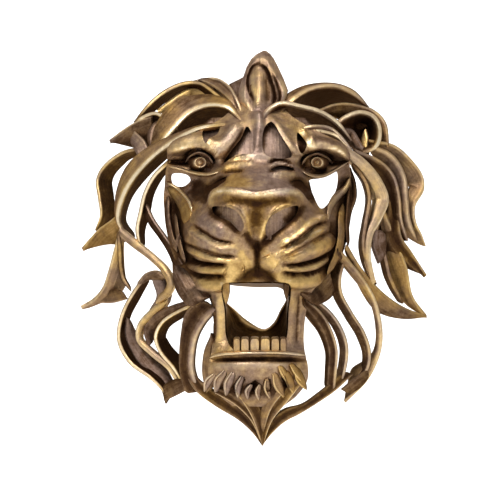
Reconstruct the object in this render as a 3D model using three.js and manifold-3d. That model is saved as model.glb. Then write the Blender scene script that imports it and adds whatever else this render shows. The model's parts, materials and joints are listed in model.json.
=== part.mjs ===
import * as THREE from 'three';
import ManifoldModule from 'manifold-3d';

// Lion head wall mask, one openwork casting, in millimetres.
// The wall is the plane y = 0, the face looks along -Y and +Z is up.
// The origin is the flat of the hanging boss, behind the crest.

// Driving sizes.
const HEIGHT = 200;
const WIDTH = 178;
const DEPTH = 120;
const FACE_WALL = 3.2;
const LOCK_WALL = 2.5;

// Hanging boss and its keyhole, measured from the origin on the boss's flat.
const BOSS_WIDTH = 16;
const BOSS_TOP = 4;
const BOSS_LOW = -17;
const BOSS_THICK = 11;
const NECK_WIDTH = 9;
const NECK_MARGIN = 3;
const KEYHOLE_HEAD_R = 4;
const KEYHOLE_SLOT_R = 2;
const KEYHOLE_TOP = -5.5;
const KEYHOLE_ENTRY = -12;
const KEYHOLE_DEPTH = 8;
const KEYHOLE_LIP = 3;

// The carving is laid out on a squared grid seen from the front: columns count to the
// right, rows count down, and depth counts forward from the wall in the same squares.
const GRID_COLUMNS = 349;
const GRID_ROWS = 392;
const GRID_DEPTH = 235;
const CENTRE_COLUMN = 258;
const ORIGIN_ROW = 88;
const COLUMN = WIDTH / GRID_COLUMNS;
const ROW = HEIGHT / GRID_ROWS;
const LAYER = DEPTH / GRID_DEPTH;
const LOCK_STEP = 38;
const LOWEST = 2.5;

const MATERIAL = new THREE.MeshStandardMaterial({
  name: 'antique_bronze_finish',
  color: 0x8a6a42,
  roughness: 0.42,
  metalness: 0.75,
});

const wasm = await ManifoldModule();
wasm.setup();

// A point of the carving grid as a real place.
function place(column, row, depth) {
  return new THREE.Vector3(
    (column - CENTRE_COLUMN) * COLUMN,
    -depth * LAYER,
    (ORIGIN_ROW - row) * ROW,
  );
}

// Height of the domed bed that the mane lies on, highest behind the face.
const BED = { row: 215, peak: 140, across: 178, above: 165, below: 330, fall: 1.6 };

function bedDepth(column, row) {
  const dx = (column - CENTRE_COLUMN) / BED.across;
  const reach = row < BED.row ? BED.above : BED.below;
  const dy = (row - BED.row) / reach;
  const radius = Math.hypot(dx, dy);
  return Math.max(0, BED.peak * (1 - radius ** BED.fall));
}

// Value at share t of a list of values spread evenly along a line.
function along(values, t) {
  const last = values.length - 1;
  const at = Math.min(Math.max(t, 0), 1) * last;
  const i = Math.min(Math.floor(at), last - 1);
  if (last === 0) {
    return values[0];
  }
  return values[i] + (values[i + 1] - values[i]) * (at - i);
}

// Closed manifold from rings of equal length, with a fan over each end.
function solidFromRings(rings) {
  const points = [];
  const faces = [];
  const size = rings[0].length;
  for (const ring of rings) {
    points.push(...ring);
  }
  for (let i = 0; i + 1 < rings.length; i += 1) {
    for (let j = 0; j < size; j += 1) {
      const a = i * size + j;
      const b = i * size + ((j + 1) % size);
      const c = a + size;
      const d = b + size;
      faces.push([a, b, d], [a, d, c]);
    }
  }
  const ends = [
    [0, rings[0], true],
    [(rings.length - 1) * size, rings[rings.length - 1], false],
  ];
  for (const [first, ring, isStart] of ends) {
    const middle = new THREE.Vector3();
    for (const point of ring) {
      middle.addScaledVector(point, 1 / size);
    }
    const centre = points.push(middle) - 1;
    for (let j = 0; j < size; j += 1) {
      const a = first + j;
      const b = first + ((j + 1) % size);
      faces.push(isStart ? [centre, b, a] : [centre, a, b]);
    }
  }
  return solidFromFaces(points, faces);
}

// Six times the signed volume inside a set of faces.
function signedVolume(points, faces) {
  const normal = new THREE.Vector3();
  return faces.reduce((sum, [a, b, c]) => sum + normal.crossVectors(points[b], points[c]).dot(points[a]), 0);
}

function solidFromFaces(points, faces) {
  const outward = signedVolume(points, faces) > 0;
  const vertProperties = new Float32Array(points.length * 3);
  points.forEach((point, i) => point.toArray(vertProperties, i * 3));
  const triVerts = new Uint32Array(faces.length * 3);
  faces.forEach(([a, b, c], i) => triVerts.set(outward ? [a, b, c] : [a, c, b], i * 3));
  return new wasm.Manifold(new wasm.Mesh({ numProp: 3, vertProperties, triVerts }));
}

// One lock of the mane: a strap whose bright rim follows the path. Its other edge lies
// at the width to the right of the path, or to the left where the width is negative,
// and deeper by the drop. The lift is the rim's height above the bed. A lock with a wing
// has a second side, folded back over the rim like a roof.
function lock({ path, width, lift, drop, wall = LOCK_WALL, crown = 0, wing = null, wingDrop = [8] }) {
  const rim = new THREE.CatmullRomCurve3(
    path.map(([column, row]) => new THREE.Vector3(column, row, 0)),
    false,
    'centripetal',
  );
  const steps = Math.min(Math.max(Math.round(rim.getLength() / LOCK_STEP), 3), 6);
  const rings = [];
  for (let i = 0; i <= steps; i += 1) {
    const t = i / steps;
    const at = rim.getPointAt(t);
    const heading = rim.getTangentAt(t);
    const depth = Math.max(bedDepth(at.x, at.y) + along(lift, t), 3);
    const edge = (offset, fall) => place(
      at.x - heading.y * offset,
      at.y + heading.x * offset,
      Math.max(depth - fall, LOWEST),
    );
    const near = place(at.x, at.y, depth);
    const far = edge(along(width, t), along(drop, t));
    const half = (wall * Math.min(1, 0.35 + 3 * (1 - t))) / 2;
    const side = sideOf(rim, t, near, far, lift);
    if (wing) {
      const fold = edge(along(wing, t), along(wingDrop, t));
      const other = sideOf(rim, t, near, fold, lift);
      const ridge = side.clone().add(other).normalize();
      rings.push([
        near.clone().addScaledVector(ridge, half),
        far.clone().addScaledVector(side, half * 0.5),
        far.clone().addScaledVector(side, -half * 0.5),
        near.clone().addScaledVector(ridge, -half * 1.6),
        fold.clone().addScaledVector(other, -half * 0.5),
        fold.clone().addScaledVector(other, half * 0.5),
      ]);
    } else if (crown) {
      const belly = near.clone().lerp(far, 0.5);
      rings.push([
        near.clone().addScaledVector(side, half),
        belly.addScaledVector(side, half + crown * LAYER),
        far.clone().addScaledVector(side, half * 0.3),
        far.clone().addScaledVector(side, -half * 0.7),
        near.clone().addScaledVector(side, -half),
      ]);
    } else {
      rings.push([
        near.clone().addScaledVector(side, half),
        far.clone().addScaledVector(side, half * 0.5),
        far.clone().addScaledVector(side, -half * 0.5),
        near.clone().addScaledVector(side, -half),
      ]);
    }
  }
  return solidFromRings(rings);
}

// Direction square to a lock's side, turned towards the front.
function sideOf(rim, t, near, far, lift) {
  const step = 0.04;
  const ahead = rim.getPointAt(Math.min(t + step, 1));
  const behind = rim.getPointAt(Math.max(t - step, 0));
  const depthAt = (at, share) => bedDepth(at.x, at.y) + along(lift, share);
  const forward = place(ahead.x, ahead.y, depthAt(ahead, t + step))
    .sub(place(behind.x, behind.y, depthAt(behind, t - step)));
  const normal = forward.cross(far.clone().sub(near)).normalize();
  return normal.y > 0 ? normal.negate() : normal;
}

// The crest: a closed bud. Each station gives a row, the columns of its two sides, the depth
// of the sides and how far the middle stands in front of them.
const CREST_WALL = 4;
const CREST_STATIONS = [
  [51.5, 263, 266, 58, 2],
  [60, 251, 274, 68, 9],
  [68, 246.5, 278, 74, 13],
  [80, 242.5, 283.5, 82, 15],
  [92, 238.5, 288, 91, 15],
  [104, 239, 284, 100, 14],
  [118, 248, 273, 109, 13],
  [136, 255, 264, 122, 8],
];

function crest() {
  const across = [-1, -0.55, 0, 0.55, 1];
  const rings = CREST_STATIONS.map(([row, left, right, side, bulge]) => {
    const at = (share, wall) => place(
      (left + right) / 2 + ((right - left) / 2) * share,
      row,
      side + bulge * (1 - share * share) - wall / LAYER,
    );
    const front = across.map((share) => at(share, 0));
    const back = [0.8, 0, -0.8].map((share) => at(share, CREST_WALL));
    return [...front, ...back];
  });
  return solidFromRings(rings);
}

// Mane to the left of the face, from the crest round to the jaw.
function leftMane() {
  return [
    {
      path: [[244, 116], [238, 100], [230, 87], [218, 79], [206, 79], [192, 82]],
      width: [-6, -14, -19, -17, -9, -2], lift: [42, 40, 36, 30, 26, 22], drop: [12],
    },
    {
      path: [[246, 81], [245, 94], [248, 106], [252, 120]],
      width: [25, 18, 10, 3], lift: [34, 36, 38, 36], drop: [6],
    },
    {
      path: [[230, 107], [216, 94], [200, 83], [184, 83], [165, 91], [148, 105], [134, 122]],
      width: [-6, -12, -12, -9, -9, -8, -2], lift: [36, 32, 27, 25, 22, 20, 12],
      drop: [22, 24, 22, 18, 16, 12, 6],
    },
    {
      path: [[228, 108], [208, 94], [193, 88], [180, 93], [157, 110]],
      width: [-6, -15, -17, -13, -8], lift: [20, 15, 12, 10, 8], drop: [5], crown: 3,
    },
    {
      path: [[241, 123], [228, 110], [210, 107], [190, 114], [174, 130], [155, 153]],
      width: [-3, -12, -17, -17, -14, -4], lift: [42, 38, 30, 24, 22, 20],
      drop: [12, 20, 22, 22, 20, 14], wing: [3, 8, 13, 19, 16, 6], wingDrop: [8, 10, 12, 14, 14, 8],
    },
    {
      path: [[134, 123], [144, 116], [156, 113], [167, 119], [178, 130]],
      width: [3, 8, 9, 8, 4], lift: [14, 20, 24, 24, 22], drop: [18],
    },
    {
      path: [[168, 122], [160, 132], [154, 150]],
      width: [6, 11, 5], lift: [12, 8, 10], drop: [3], crown: 3,
    },
    {
      path: [[154, 116], [138, 121], [124, 129], [109, 140]],
      width: [-20, -30, -22, -1], lift: [18, 16, 15, 13], drop: [2], crown: 4,
    },
    {
      path: [[136, 132], [146, 142], [152, 158]],
      width: [12, 14, 12], lift: [12, 12, 12], drop: [4],
    },
    {
      path: [
        [226, 127], [200, 131], [178, 141], [154, 158],
        [135, 178], [123, 200], [120, 222], [134, 241],
      ],
      width: [-3, -6, -7, -9, -9, -7, -6, -5], lift: [44, 34, 28, 25, 24, 22, 20, 22], drop: [16],
      wing: [2, 3, 6, 11, 13, 8, 2, 2], wingDrop: [10],
    },
    {
      path: [[171, 160], [155, 175], [145, 193], [140, 213], [137, 230], [141, 250]],
      width: [-5, -8, -9, -10, -8, -5], lift: [20], drop: [14],
    },
    {
      path: [[148, 203], [155, 219], [165, 233], [175, 247], [184, 264]],
      width: [5, 7, 7, 8, 10], lift: [10, 12, 16, 20, 24], drop: [6],
    },
    {
      path: [[140, 148], [122, 152], [103, 166], [96, 180], [98, 198], [100, 215], [95, 230]],
      width: [-6, -11, -14, -16, -16, -15, -14], lift: [14, 14, 15, 16, 16, 15, 12], drop: [12],
    },
    {
      path: [[120, 213], [110, 221], [100, 228], [90, 238], [81, 248]],
      width: [-27, -26, -20, -11, -1], lift: [14, 15, 16, 14, 12], drop: [4], crown: 3,
    },
    {
      path: [[120, 228], [114, 250], [108, 272], [102, 288], [92, 299], [80, 306]],
      width: [-4, -9, -15, -21, -8, -1], lift: [14, 14, 14, 14, 13, 12], drop: [7], crown: 3,
    },
    {
      path: [[118, 232], [119, 250], [120, 266], [123, 280], [131, 291]],
      width: [-3], lift: [16, 14, 12, 12, 12], drop: [6],
    },
    {
      path: [[124, 228], [142, 243], [158, 256], [171, 269], [177, 283], [172, 295], [160, 303]],
      width: [9, 9, 8, 8, 9, 9, 8], lift: [20, 21, 22, 23, 23, 22, 18], drop: [3], crown: 3,
    },
    {
      path: [[138, 282], [146, 273], [158, 270], [170, 276]],
      width: [5, 8, 10, 6], lift: [14, 17, 18, 16], drop: [3], crown: 2,
    },
    {
      path: [[150, 272], [154, 284], [157, 296], [150, 309]],
      width: [-12, -17, -15, -9], lift: [13, 11, 11, 12], drop: [2], crown: 4,
    },
    {
      path: [[182, 236], [190, 258], [200, 278], [212, 296]],
      width: [8, 18, 26, 24], lift: [10, 14, 20, 28], drop: [4], crown: 4,
    },
    {
      path: [
        [148, 273], [133, 292], [121, 316], [118, 340],
        [129, 362], [150, 378], [163, 391], [166, 403],
      ],
      width: [-5, -9, -9, -9, -9, -9, -14, -2], lift: [16, 17, 18, 18, 18, 18, 17, 14], drop: [12],
    },
    {
      path: [[168, 297], [152, 308], [138, 324], [137, 340], [151, 355], [168, 369], [180, 388]],
      width: [-6, -8, -8, -7, -7, -8, -8], lift: [16, 16, 16, 16, 16, 16, 14], drop: [5], crown: 2,
    },
    {
      path: [[202, 300], [180, 309], [162, 321], [155, 336], [160, 352], [174, 369], [184, 386]],
      width: [-6, -8, -9, -11, -13, -13, -8], lift: [36, 26, 20, 18, 18, 18, 18], drop: [14],
    },
    {
      path: [[196, 298], [174, 304], [154, 314], [144, 328], [148, 346]],
      width: [-8, -11, -13, -13, -7], lift: [22, 16, 13, 12, 12], drop: [4], crown: 2,
    },
    {
      path: [[216, 307], [204, 319], [196, 333], [192, 350], [192, 370], [200, 390]],
      width: [14, 19, 14, 12, 12, 14], lift: [34, 28, 22, 22, 24, 30], drop: [5],
      wing: [-2, -3, -3, -3, -3, -4], wingDrop: [12],
    },
    {
      path: [[166, 400], [180, 393], [193, 386]],
      width: [-14, -16, -10], lift: [14, 18, 26], drop: [3],
    },
    {
      path: [[125, 316], [126, 338], [138, 362], [155, 379], [168, 394]],
      width: [-5, -14, -18, -17, -12], lift: [8], drop: [2], crown: 2,
    },
    {
      path: [[214, 332], [206, 346], [203, 360], [203, 374], [207, 390]],
      width: [-4, -10, -14, -14, -10], lift: [40, 42, 42, 42, 42], drop: [-4], crown: 3,
    },
    {
      path: [[186, 374], [197, 390], [216, 404], [239, 418], [253, 431], [262, 444]],
      width: [-8, -12, -13, -12, -8, -1], lift: [22, 32, 36, 36, 36, 34], drop: [-2, -4, -6, -6, -4, 0],
      wall: 3.5,
    },
  ].map(lock);
}

// Mane to the right of the face, from the crest round to the jaw.
function rightMane() {
  return [
    {
      path: [[280, 114], [297, 98], [313, 90], [335, 88], [351, 94], [368, 108]],
      width: [4, 10, 20, 21, 13, 3], lift: [40, 34, 30, 28, 26, 18], drop: [14, 26, 30, 30, 26, 10],
      wing: [-10, -8, -5, -3, -3, -1], wingDrop: [8],
    },
    {
      path: [[314, 112], [335, 104], [355, 104], [374, 110], [386, 123], [387, 141]],
      width: [4, 16, 20, 14, 13, 8], lift: [22, 18, 18, 20, 22, 18], drop: [6], crown: 2,
    },
    {
      path: [[261, 128], [267, 114], [280, 106], [300, 109], [319, 114], [336, 125], [350, 142]],
      width: [3, 6, 10, 15, 16, 12, 5], lift: [44, 46, 42, 36, 32, 28, 26],
      drop: [8, 16, 24, 26, 26, 22, 14],
    },
    {
      path: [[298, 129], [314, 126], [330, 128], [342, 138], [352, 152]],
      width: [4, 6, 7, 6, 4], lift: [44, 36, 30, 27, 25], drop: [3],
    },
    {
      path: [[309, 130], [325, 132], [338, 137], [349, 150]],
      width: [5, 9, 9, 5], lift: [36, 30, 27, 25], drop: [18],
    },
    {
      path: [[335, 127], [345, 119], [360, 114], [373, 119], [378, 132], [374, 147], [362, 153]],
      width: [4, 8, 8, 8, 8, 7, 6], lift: [24, 25, 25, 24, 23, 22, 20], drop: [18],
    },
    {
      path: [[340, 128], [352, 130], [360, 142], [366, 152]],
      width: [10, 13, 12, 6], lift: [14, 12, 12, 14], drop: [3], crown: 3,
    },
    {
      path: [
        [368, 140], [394, 145], [411, 159], [423, 176], [424, 190],
        [415, 207], [416, 222], [422, 235], [426, 246],
      ],
      width: [9, 13, 16, 20, 20, 15, 13, 15, 4], lift: [20, 18, 18, 18, 18, 17, 16, 15, 13],
      drop: [8, 9, 9, 6, 5, 4, 4, 4, 3],
    },
    {
      path: [[370, 147], [390, 157], [402, 176], [405, 200], [407, 220], [417, 242]],
      width: [7, 11, 12, 12, 10, 3], lift: [20, 18, 17, 16, 15, 14], drop: [6],
    },
    {
      path: [[354, 150], [380, 161], [394, 176], [400, 198], [402, 220], [408, 240]],
      width: [8, 12, 14, 14, 14, 12], lift: [24, 20, 18, 16, 15, 14], drop: [5], crown: 2,
    },
    {
      path: [[396, 190], [399, 214], [401, 236], [411, 251], [427, 275]],
      width: [10, 20, 26, 17, 1], lift: [8, 10, 13, 14, 12], drop: [4], crown: 3,
    },
    {
      path: [
        [345, 147], [364, 160], [380, 179], [388, 200],
        [381, 219], [372, 236], [370, 256], [375, 282],
      ],
      width: [8, 16, 18, 18, 14, 8, 7, 3], lift: [26, 25, 24, 23, 22, 21, 20, 17], drop: [3], crown: 4,
    },
    {
      path: [[352, 164], [365, 182], [369, 200], [365, 226], [363, 246], [369, 268], [376, 284]],
      width: [2, 3, 3, 3, 4, 5, 4], lift: [20, 20, 20, 20, 20, 19, 16], drop: [14],
    },
    {
      path: [[383, 206], [397, 240], [407, 268], [413, 296], [427, 315]],
      width: [5, 14, 21, 14, 1], lift: [0, 5, 10, 12, 11], drop: [4], crown: 3,
    },
    {
      path: [[380, 218], [376, 236], [384, 252], [390, 276], [403, 303]],
      width: [4, 6, 6, 5, 4], lift: [22, 16, 14, 14, 14], drop: [12],
    },
    {
      path: [[346, 244], [358, 264], [375, 285], [394, 301], [411, 310], [427, 315]],
      width: [5, 9, 15, 19, 12, 1], lift: [24, 18, 15, 14, 13, 11], drop: [3], crown: 2,
    },
    {
      path: [[338, 248], [364, 280], [376, 302], [382, 334], [379, 356], [367, 380], [345, 402]],
      width: [8, 9, 6, 6, 8, 20, 3], lift: [42, 24, 18, 18, 18, 18, 16], drop: [5], crown: 2,
    },
    {
      path: [
        [344, 262], [340, 278], [341, 292], [351, 311],
        [364, 332], [370, 352], [367, 370], [352, 388],
      ],
      width: [12, 10, 9, 9, 9, 8, 7, 5], lift: [32, 30, 27, 21, 18, 18, 18, 18], drop: [8],
    },
    {
      path: [[303, 290], [328, 309], [341, 327], [347, 346], [346, 364], [341, 384]],
      width: [5, 7, 8, 8, 8, 8], lift: [40, 28, 22, 20, 20, 20], drop: [8],
    },
    {
      path: [[302, 294], [322, 313], [332, 331], [337, 350], [336, 370], [334, 390]],
      width: [10, 15, 14, 13, 12, 11], lift: [40, 28, 22, 22, 22, 24], drop: [5], crown: 4,
    },
    {
      path: [[335, 248], [323, 267], [311, 281], [298, 293]],
      width: [-8, -18, -25, -18], lift: [8, 6, 10, 24], drop: [3], crown: 4,
    },
    {
      path: [[350, 168], [355, 182], [356, 198], [351, 213], [348, 230]],
      width: [5, 7, 7, 5, 3], lift: [2], drop: [2],
    },
    {
      path: [[370, 228], [370, 246], [376, 263]],
      width: [-14, -16, -10], lift: [10, 9, 8], drop: [2], crown: 2,
    },
    {
      path: [[352, 374], [334, 390], [316, 402], [299, 412], [284, 420], [272, 431], [262, 444]],
      width: [8, 10, 9, 8, 12, 9, 1], lift: [18, 22, 27, 32, 36, 36, 34],
      drop: [-1, -2, -2, -3, -4, -3, 0], wall: 3.5,
    },
  ].map(lock);
}

// The face is one domed sheet. Each station across it gives its row, the depth on the
// centre line, the depth at the cheeks, the half width of the raised middle as a share
// of the half width, how square that middle is, and the half width of the sheet.
const FACE_STATIONS = [
  [104, 108, 92, 0.9, 1, 20],
  [118, 124, 98, 0.9, 1, 34],
  [130, 136, 96, 0.85, 1.1, 54],
  [142, 144, 92, 0.8, 1.2, 76],
  [152, 150, 88, 0.78, 1.3, 87],
  [164, 158, 84, 0.72, 1.4, 90],
  [176, 182, 82, 0.62, 1.8, 92],
  [188, 210, 82, 0.56, 2.3, 93],
  [196, 224, 84, 0.58, 2.6, 94],
  [208, 225, 88, 0.62, 2.6, 94],
  [222, 223, 92, 0.68, 2.6, 93],
  [238, 219, 96, 0.74, 2.6, 90],
  [252, 214, 100, 0.8, 2.4, 86],
  [266, 210, 108, 0.84, 2.2, 79],
  [278, 200, 116, 0.86, 2, 66],
  [288, 188, 122, 0.9, 1.6, 55],
  [302, 176, 124, 0.95, 1.4, 49],
  [320, 168, 126, 0.95, 1.4, 46],
  [338, 166, 128, 0.95, 1.4, 45],
  [350, 172, 132, 0.95, 1.5, 46],
  [364, 178, 134, 0.92, 1.6, 49],
  [380, 174, 130, 0.9, 1.6, 48],
  [394, 162, 122, 0.9, 1.5, 38],
  [404, 150, 114, 0.9, 1.4, 25],
];

// Smooth value of one column of the stations at a given row.
function station(row, item) {
  const rows = FACE_STATIONS;
  let i = 0;
  while (i < rows.length - 2 && row > rows[i + 1][0]) {
    i += 1;
  }
  const before = rows[Math.max(i - 1, 0)];
  const from = rows[i];
  const to = rows[i + 1];
  const after = rows[Math.min(i + 2, rows.length - 1)];
  const span = to[0] - from[0];
  const t = (row - from[0]) / span;
  const slopeFrom = ((to[item] - before[item]) / (to[0] - before[0])) * span;
  const slopeTo = ((after[item] - from[item]) / (after[0] - from[0])) * span;
  const cubic = 2 * t ** 3 - 3 * t ** 2;
  return (1 + cubic) * from[item] + (t ** 3 - 2 * t ** 2 + t) * slopeFrom
    - cubic * to[item] + (t ** 3 - t ** 2) * slopeTo;
}

// Swellings and hollows of the face: column, row, two radii and height in grid squares.
const SWELLINGS = [
  [201, 147, 26, 9, 12],
  [316, 147, 26, 9, 12],
  [201, 165, 17, 10, -10],
  [316, 165, 17, 10, -10],
  [258, 178, 14, 22, 4],
  [232, 132, 12, 12, 5],
  [284, 132, 12, 12, 5],
];

function faceDepth(column, row) {
  const half = station(row, 5);
  const share = Math.abs(column - CENTRE_COLUMN) / half;
  const middle = station(row, 1);
  const cheek = station(row, 2);
  const bell = 1 / (1 + (share / station(row, 3)) ** (2 * station(row, 4)));
  let depth = cheek + (middle - cheek) * bell;
  for (const [atColumn, atRow, across, down, height] of SWELLINGS) {
    const dx = (column - atColumn) / across;
    const dy = (row - atRow) / down;
    depth += height * Math.exp(-dx * dx - dy * dy);
  }
  return depth;
}

// Closed sheet between a front grid of points and the same grid moved in by the wall.
function sheet(columns, rows, pointAt, wall) {
  const front = [];
  for (let i = 0; i <= rows; i += 1) {
    for (let j = 0; j <= columns; j += 1) {
      front.push(pointAt(j / columns, i / rows));
    }
  }
  const index = (i, j) => i * (columns + 1) + j;
  const back = front.map((point, k) => {
    const i = Math.floor(k / (columns + 1));
    const j = k % (columns + 1);
    const across = front[index(i, Math.min(j + 1, columns))].clone().sub(front[index(i, Math.max(j - 1, 0))]);
    const down = front[index(Math.min(i + 1, rows), j)].clone().sub(front[index(Math.max(i - 1, 0), j)]);
    const normal = across.cross(down).normalize();
    if (normal.y < 0) {
      normal.negate();
    }
    return point.clone().addScaledVector(normal, wall);
  });
  const offset = front.length;
  const faces = [];
  for (let i = 0; i < rows; i += 1) {
    for (let j = 0; j < columns; j += 1) {
      const a = index(i, j);
      const b = index(i, j + 1);
      const c = index(i + 1, j);
      const d = index(i + 1, j + 1);
      faces.push([a, b, d], [a, d, c]);
      faces.push([offset + a, offset + d, offset + b], [offset + a, offset + c, offset + d]);
    }
  }
  const edge = [];
  for (let j = 0; j < columns; j += 1) {
    edge.push(index(0, j));
  }
  for (let i = 0; i < rows; i += 1) {
    edge.push(index(i, columns));
  }
  for (let j = columns; j > 0; j -= 1) {
    edge.push(index(rows, j));
  }
  for (let i = rows; i > 0; i -= 1) {
    edge.push(index(i, 0));
  }
  edge.forEach((a, k) => {
    const b = edge[(k + 1) % edge.length];
    faces.push([b, a, offset + a], [b, offset + a, offset + b]);
  });
  return solidFromFaces([...front, ...back], faces);
}

function faceSheet() {
  const top = FACE_STATIONS[0][0];
  const bottom = FACE_STATIONS[FACE_STATIONS.length - 1][0];
  return sheet(12, 20, (u, v) => {
    const row = top + (bottom - top) * v;
    const column = CENTRE_COLUMN + (2 * u - 1) * station(row, 5);
    return place(column, row, faceDepth(column, row));
  }, FACE_WALL);
}

// Lining: a smaller sheet behind the face that closes the frown, the nostrils and the cheek
// slits. Each of its stations gives a row and the half width there. It lies deeper than the
// face by a few squares, and less so at its border, where it runs into the face.
const LINING = { columns: 5, rows: 6, wall: 2.5, under: 11, edgeUnder: 4 };
const LINING_STATIONS = [
  [119, 46], [130, 62], [150, 62], [165, 55],
  [180, 50], [205, 56], [222, 54], [240, 46],
];

function liningHalf(row) {
  const i = Math.max(LINING_STATIONS.findIndex(([to]) => to >= row), 1);
  const [fromRow, from] = LINING_STATIONS[i - 1];
  const [toRow, to] = LINING_STATIONS[i];
  return from + ((to - from) * (row - fromRow)) / (toRow - fromRow);
}

function lining() {
  const top = LINING_STATIONS[0][0];
  const bottom = LINING_STATIONS[LINING_STATIONS.length - 1][0];
  return sheet(LINING.columns, LINING.rows, (u, v) => {
    const row = top + (bottom - top) * v;
    const column = CENTRE_COLUMN + (2 * u - 1) * liningHalf(row);
    const border = Math.max(Math.abs(2 * u - 1), Math.abs(2 * v - 1)) ** 8;
    const under = LINING.under + (LINING.edgeUnder - LINING.under) * border;
    return place(column, row, faceDepth(column, row) - under);
  }, LINING.wall);
}

// Prism through the whole mask over an outline drawn on the grid.
function piercing(outline, from, to = GRID_DEPTH + 20) {
  const curve = new THREE.CatmullRomCurve3(
    outline.map(([column, row]) => new THREE.Vector3(column, row, 0)),
    true,
    'centripetal',
  );
  const count = Math.max(outline.length, 7);
  const ring = curve.getSpacedPoints(count).slice(0, count);
  return solidFromRings([from, to].map((depth) => ring.map((point) => place(point.x, point.y, depth))));
}

// Strap modelled on the face: its top stands above the sheet by the lift, less the drop
// towards its other edge, and its underside is sunk into the sheet.
const SINK = 3.5;

function strap({ path, width, lift, drop = [6], crown = 0 }) {
  const rim = new THREE.CatmullRomCurve3(
    path.map(([column, row]) => new THREE.Vector3(column, row, 0)),
    false,
    'centripetal',
  );
  const steps = Math.min(Math.max(Math.round(rim.getLength() / 26), 2), 3);
  const rings = [];
  for (let i = 0; i <= steps; i += 1) {
    const t = i / steps;
    const at = rim.getPointAt(t);
    const heading = rim.getTangentAt(t);
    const offset = along(width, t);
    const rise = along(lift, t) * Math.min(1, 0.3 + 4 * Math.min(t, 1 - t));
    const top = [[0, rise], [0.5, rise - along(drop, t) * 0.5 + crown], [1, rise - along(drop, t)]];
    const under = [[1, -SINK], [0, -SINK]];
    rings.push([...top, ...under].map(([share, above]) => {
      const column = at.x - heading.y * offset * share;
      const row = at.y + heading.x * offset * share;
      return place(column, row, faceDepth(column, row) + Math.max(above, -SINK));
    }));
  }
  return solidFromRings(rings);
}

// Whisker pads: long petals fanned out from the lip, overlapping like shingles.
function whiskerPads() {
  return [
    {
      path: [[246, 246], [222, 236], [204, 226], [193, 216]],
      width: [10, 15, 16, 8], lift: [4, 6, 8, 8], drop: [2, 4, 6, 4], crown: 5,
    },
    {
      path: [[248, 256], [222, 244], [202, 234], [186, 224]],
      width: [9, 9, 8, 4], lift: [6, 8, 10, 10], drop: [4], crown: 4,
    },
    {
      path: [[248, 266], [222, 262], [200, 256], [180, 246]],
      width: [10, 17, 20, 12], lift: [5, 8, 12, 12], drop: [4], crown: 6,
    },
    {
      path: [[244, 275], [222, 273], [202, 271], [185, 264]],
      width: [9, 9, 10, 8], lift: [4, 8, 12, 14], drop: [4], crown: 4,
    },
    {
      path: [[238, 281], [222, 288], [204, 286], [192, 276]],
      width: [10, 14, 13, 6], lift: [3, 6, 10, 12], drop: [3], crown: 5,
    },
    {
      path: [[266, 246], [288, 236], [305, 224], [322, 210]],
      width: [-8, -13, -13, -6], lift: [4, 6, 8, 8], drop: [2, 4, 6, 4], crown: 5,
    },
    {
      path: [[262, 256], [288, 246], [306, 236], [332, 220]],
      width: [-8, -11, -13, -9], lift: [6, 8, 10, 10], drop: [4], crown: 4,
    },
    {
      path: [[264, 262], [290, 254], [308, 245], [334, 230]],
      width: [-7, -7, -8, -5], lift: [6, 9, 12, 12], drop: [4], crown: 3,
    },
    {
      path: [[266, 269], [290, 269], [312, 264], [336, 251]],
      width: [-10, -17, -20, -16], lift: [6, 9, 12, 12], drop: [4], crown: 6,
    },
    {
      path: [[268, 276], [284, 284], [304, 284], [322, 275]],
      width: [-8, -12, -12, -8], lift: [4, 7, 11, 12], drop: [3], crown: 5,
    },
  ].map(strap);
}

// Brows, lids, nose rim, lips and the wrinkles over the muzzle.
function features() {
  return [
    {
      path: [[218, 152], [205, 148], [190, 148], [176, 152], [169, 161]],
      width: [7, 9, 9, 8, 4], lift: [3, 8, 10, 9, 6], drop: [0], crown: 4,
    },
    {
      path: [[300, 152], [314, 148], [328, 148], [340, 152], [348, 161]],
      width: [-7, -9, -9, -8, -4], lift: [3, 8, 10, 9, 6], drop: [0], crown: 4,
    },
    {
      path: [[214, 166], [207, 158], [198, 154], [188, 157], [170, 164]],
      width: [3, 4, 4, 4, 3], lift: [10, 13, 14, 12, 8], drop: [2],
    },
    {
      path: [[303, 166], [310, 158], [319, 154], [329, 157], [347, 163]],
      width: [-3, -4, -4, -4, -3], lift: [10, 13, 14, 12, 8], drop: [2],
    },
    {
      path: [[216, 176], [205, 175], [190, 173], [168, 168]],
      width: [5, 5, 5, 4], lift: [8, 10, 10, 8], drop: [1],
    },
    {
      path: [[301, 174], [312, 177], [326, 173], [346, 163]],
      width: [-5, -5, -5, -4], lift: [8, 10, 10, 8], drop: [1],
    },
    {
      path: [[211, 210], [213, 199], [224, 194], [258, 197], [292, 194], [303, 199], [303, 210]],
      width: [6, 7, 8, 8, 8, 7, 6], lift: [8, 10, 8, 6, 8, 10, 8], drop: [3], crown: 2,
    },
    {
      path: [[212, 200], [208, 210], [214, 218], [232, 228], [240, 240]],
      width: [-5, -5, -5, -5, -4], lift: [8, 8, 8, 6, 4], drop: [2],
    },
    {
      path: [[303, 200], [306, 212], [298, 222], [284, 232], [268, 244]],
      width: [5, 5, 5, 5, 4], lift: [8, 8, 8, 6, 4], drop: [2],
    },
    {
      path: [[203, 355], [222, 350], [240, 348], [276, 348], [294, 350], [306, 354]],
      width: [4, 4, 4, 4, 4, 4], lift: [6, 9, 10, 10, 9, 6], drop: [4],
    },
    {
      path: [[206, 362], [222, 358], [258, 356], [294, 358], [306, 362]],
      width: [8, 12, 14, 12, 8], lift: [4, 7, 8, 7, 4], drop: [2], crown: 4,
    },
  ].map(strap);
}

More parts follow.
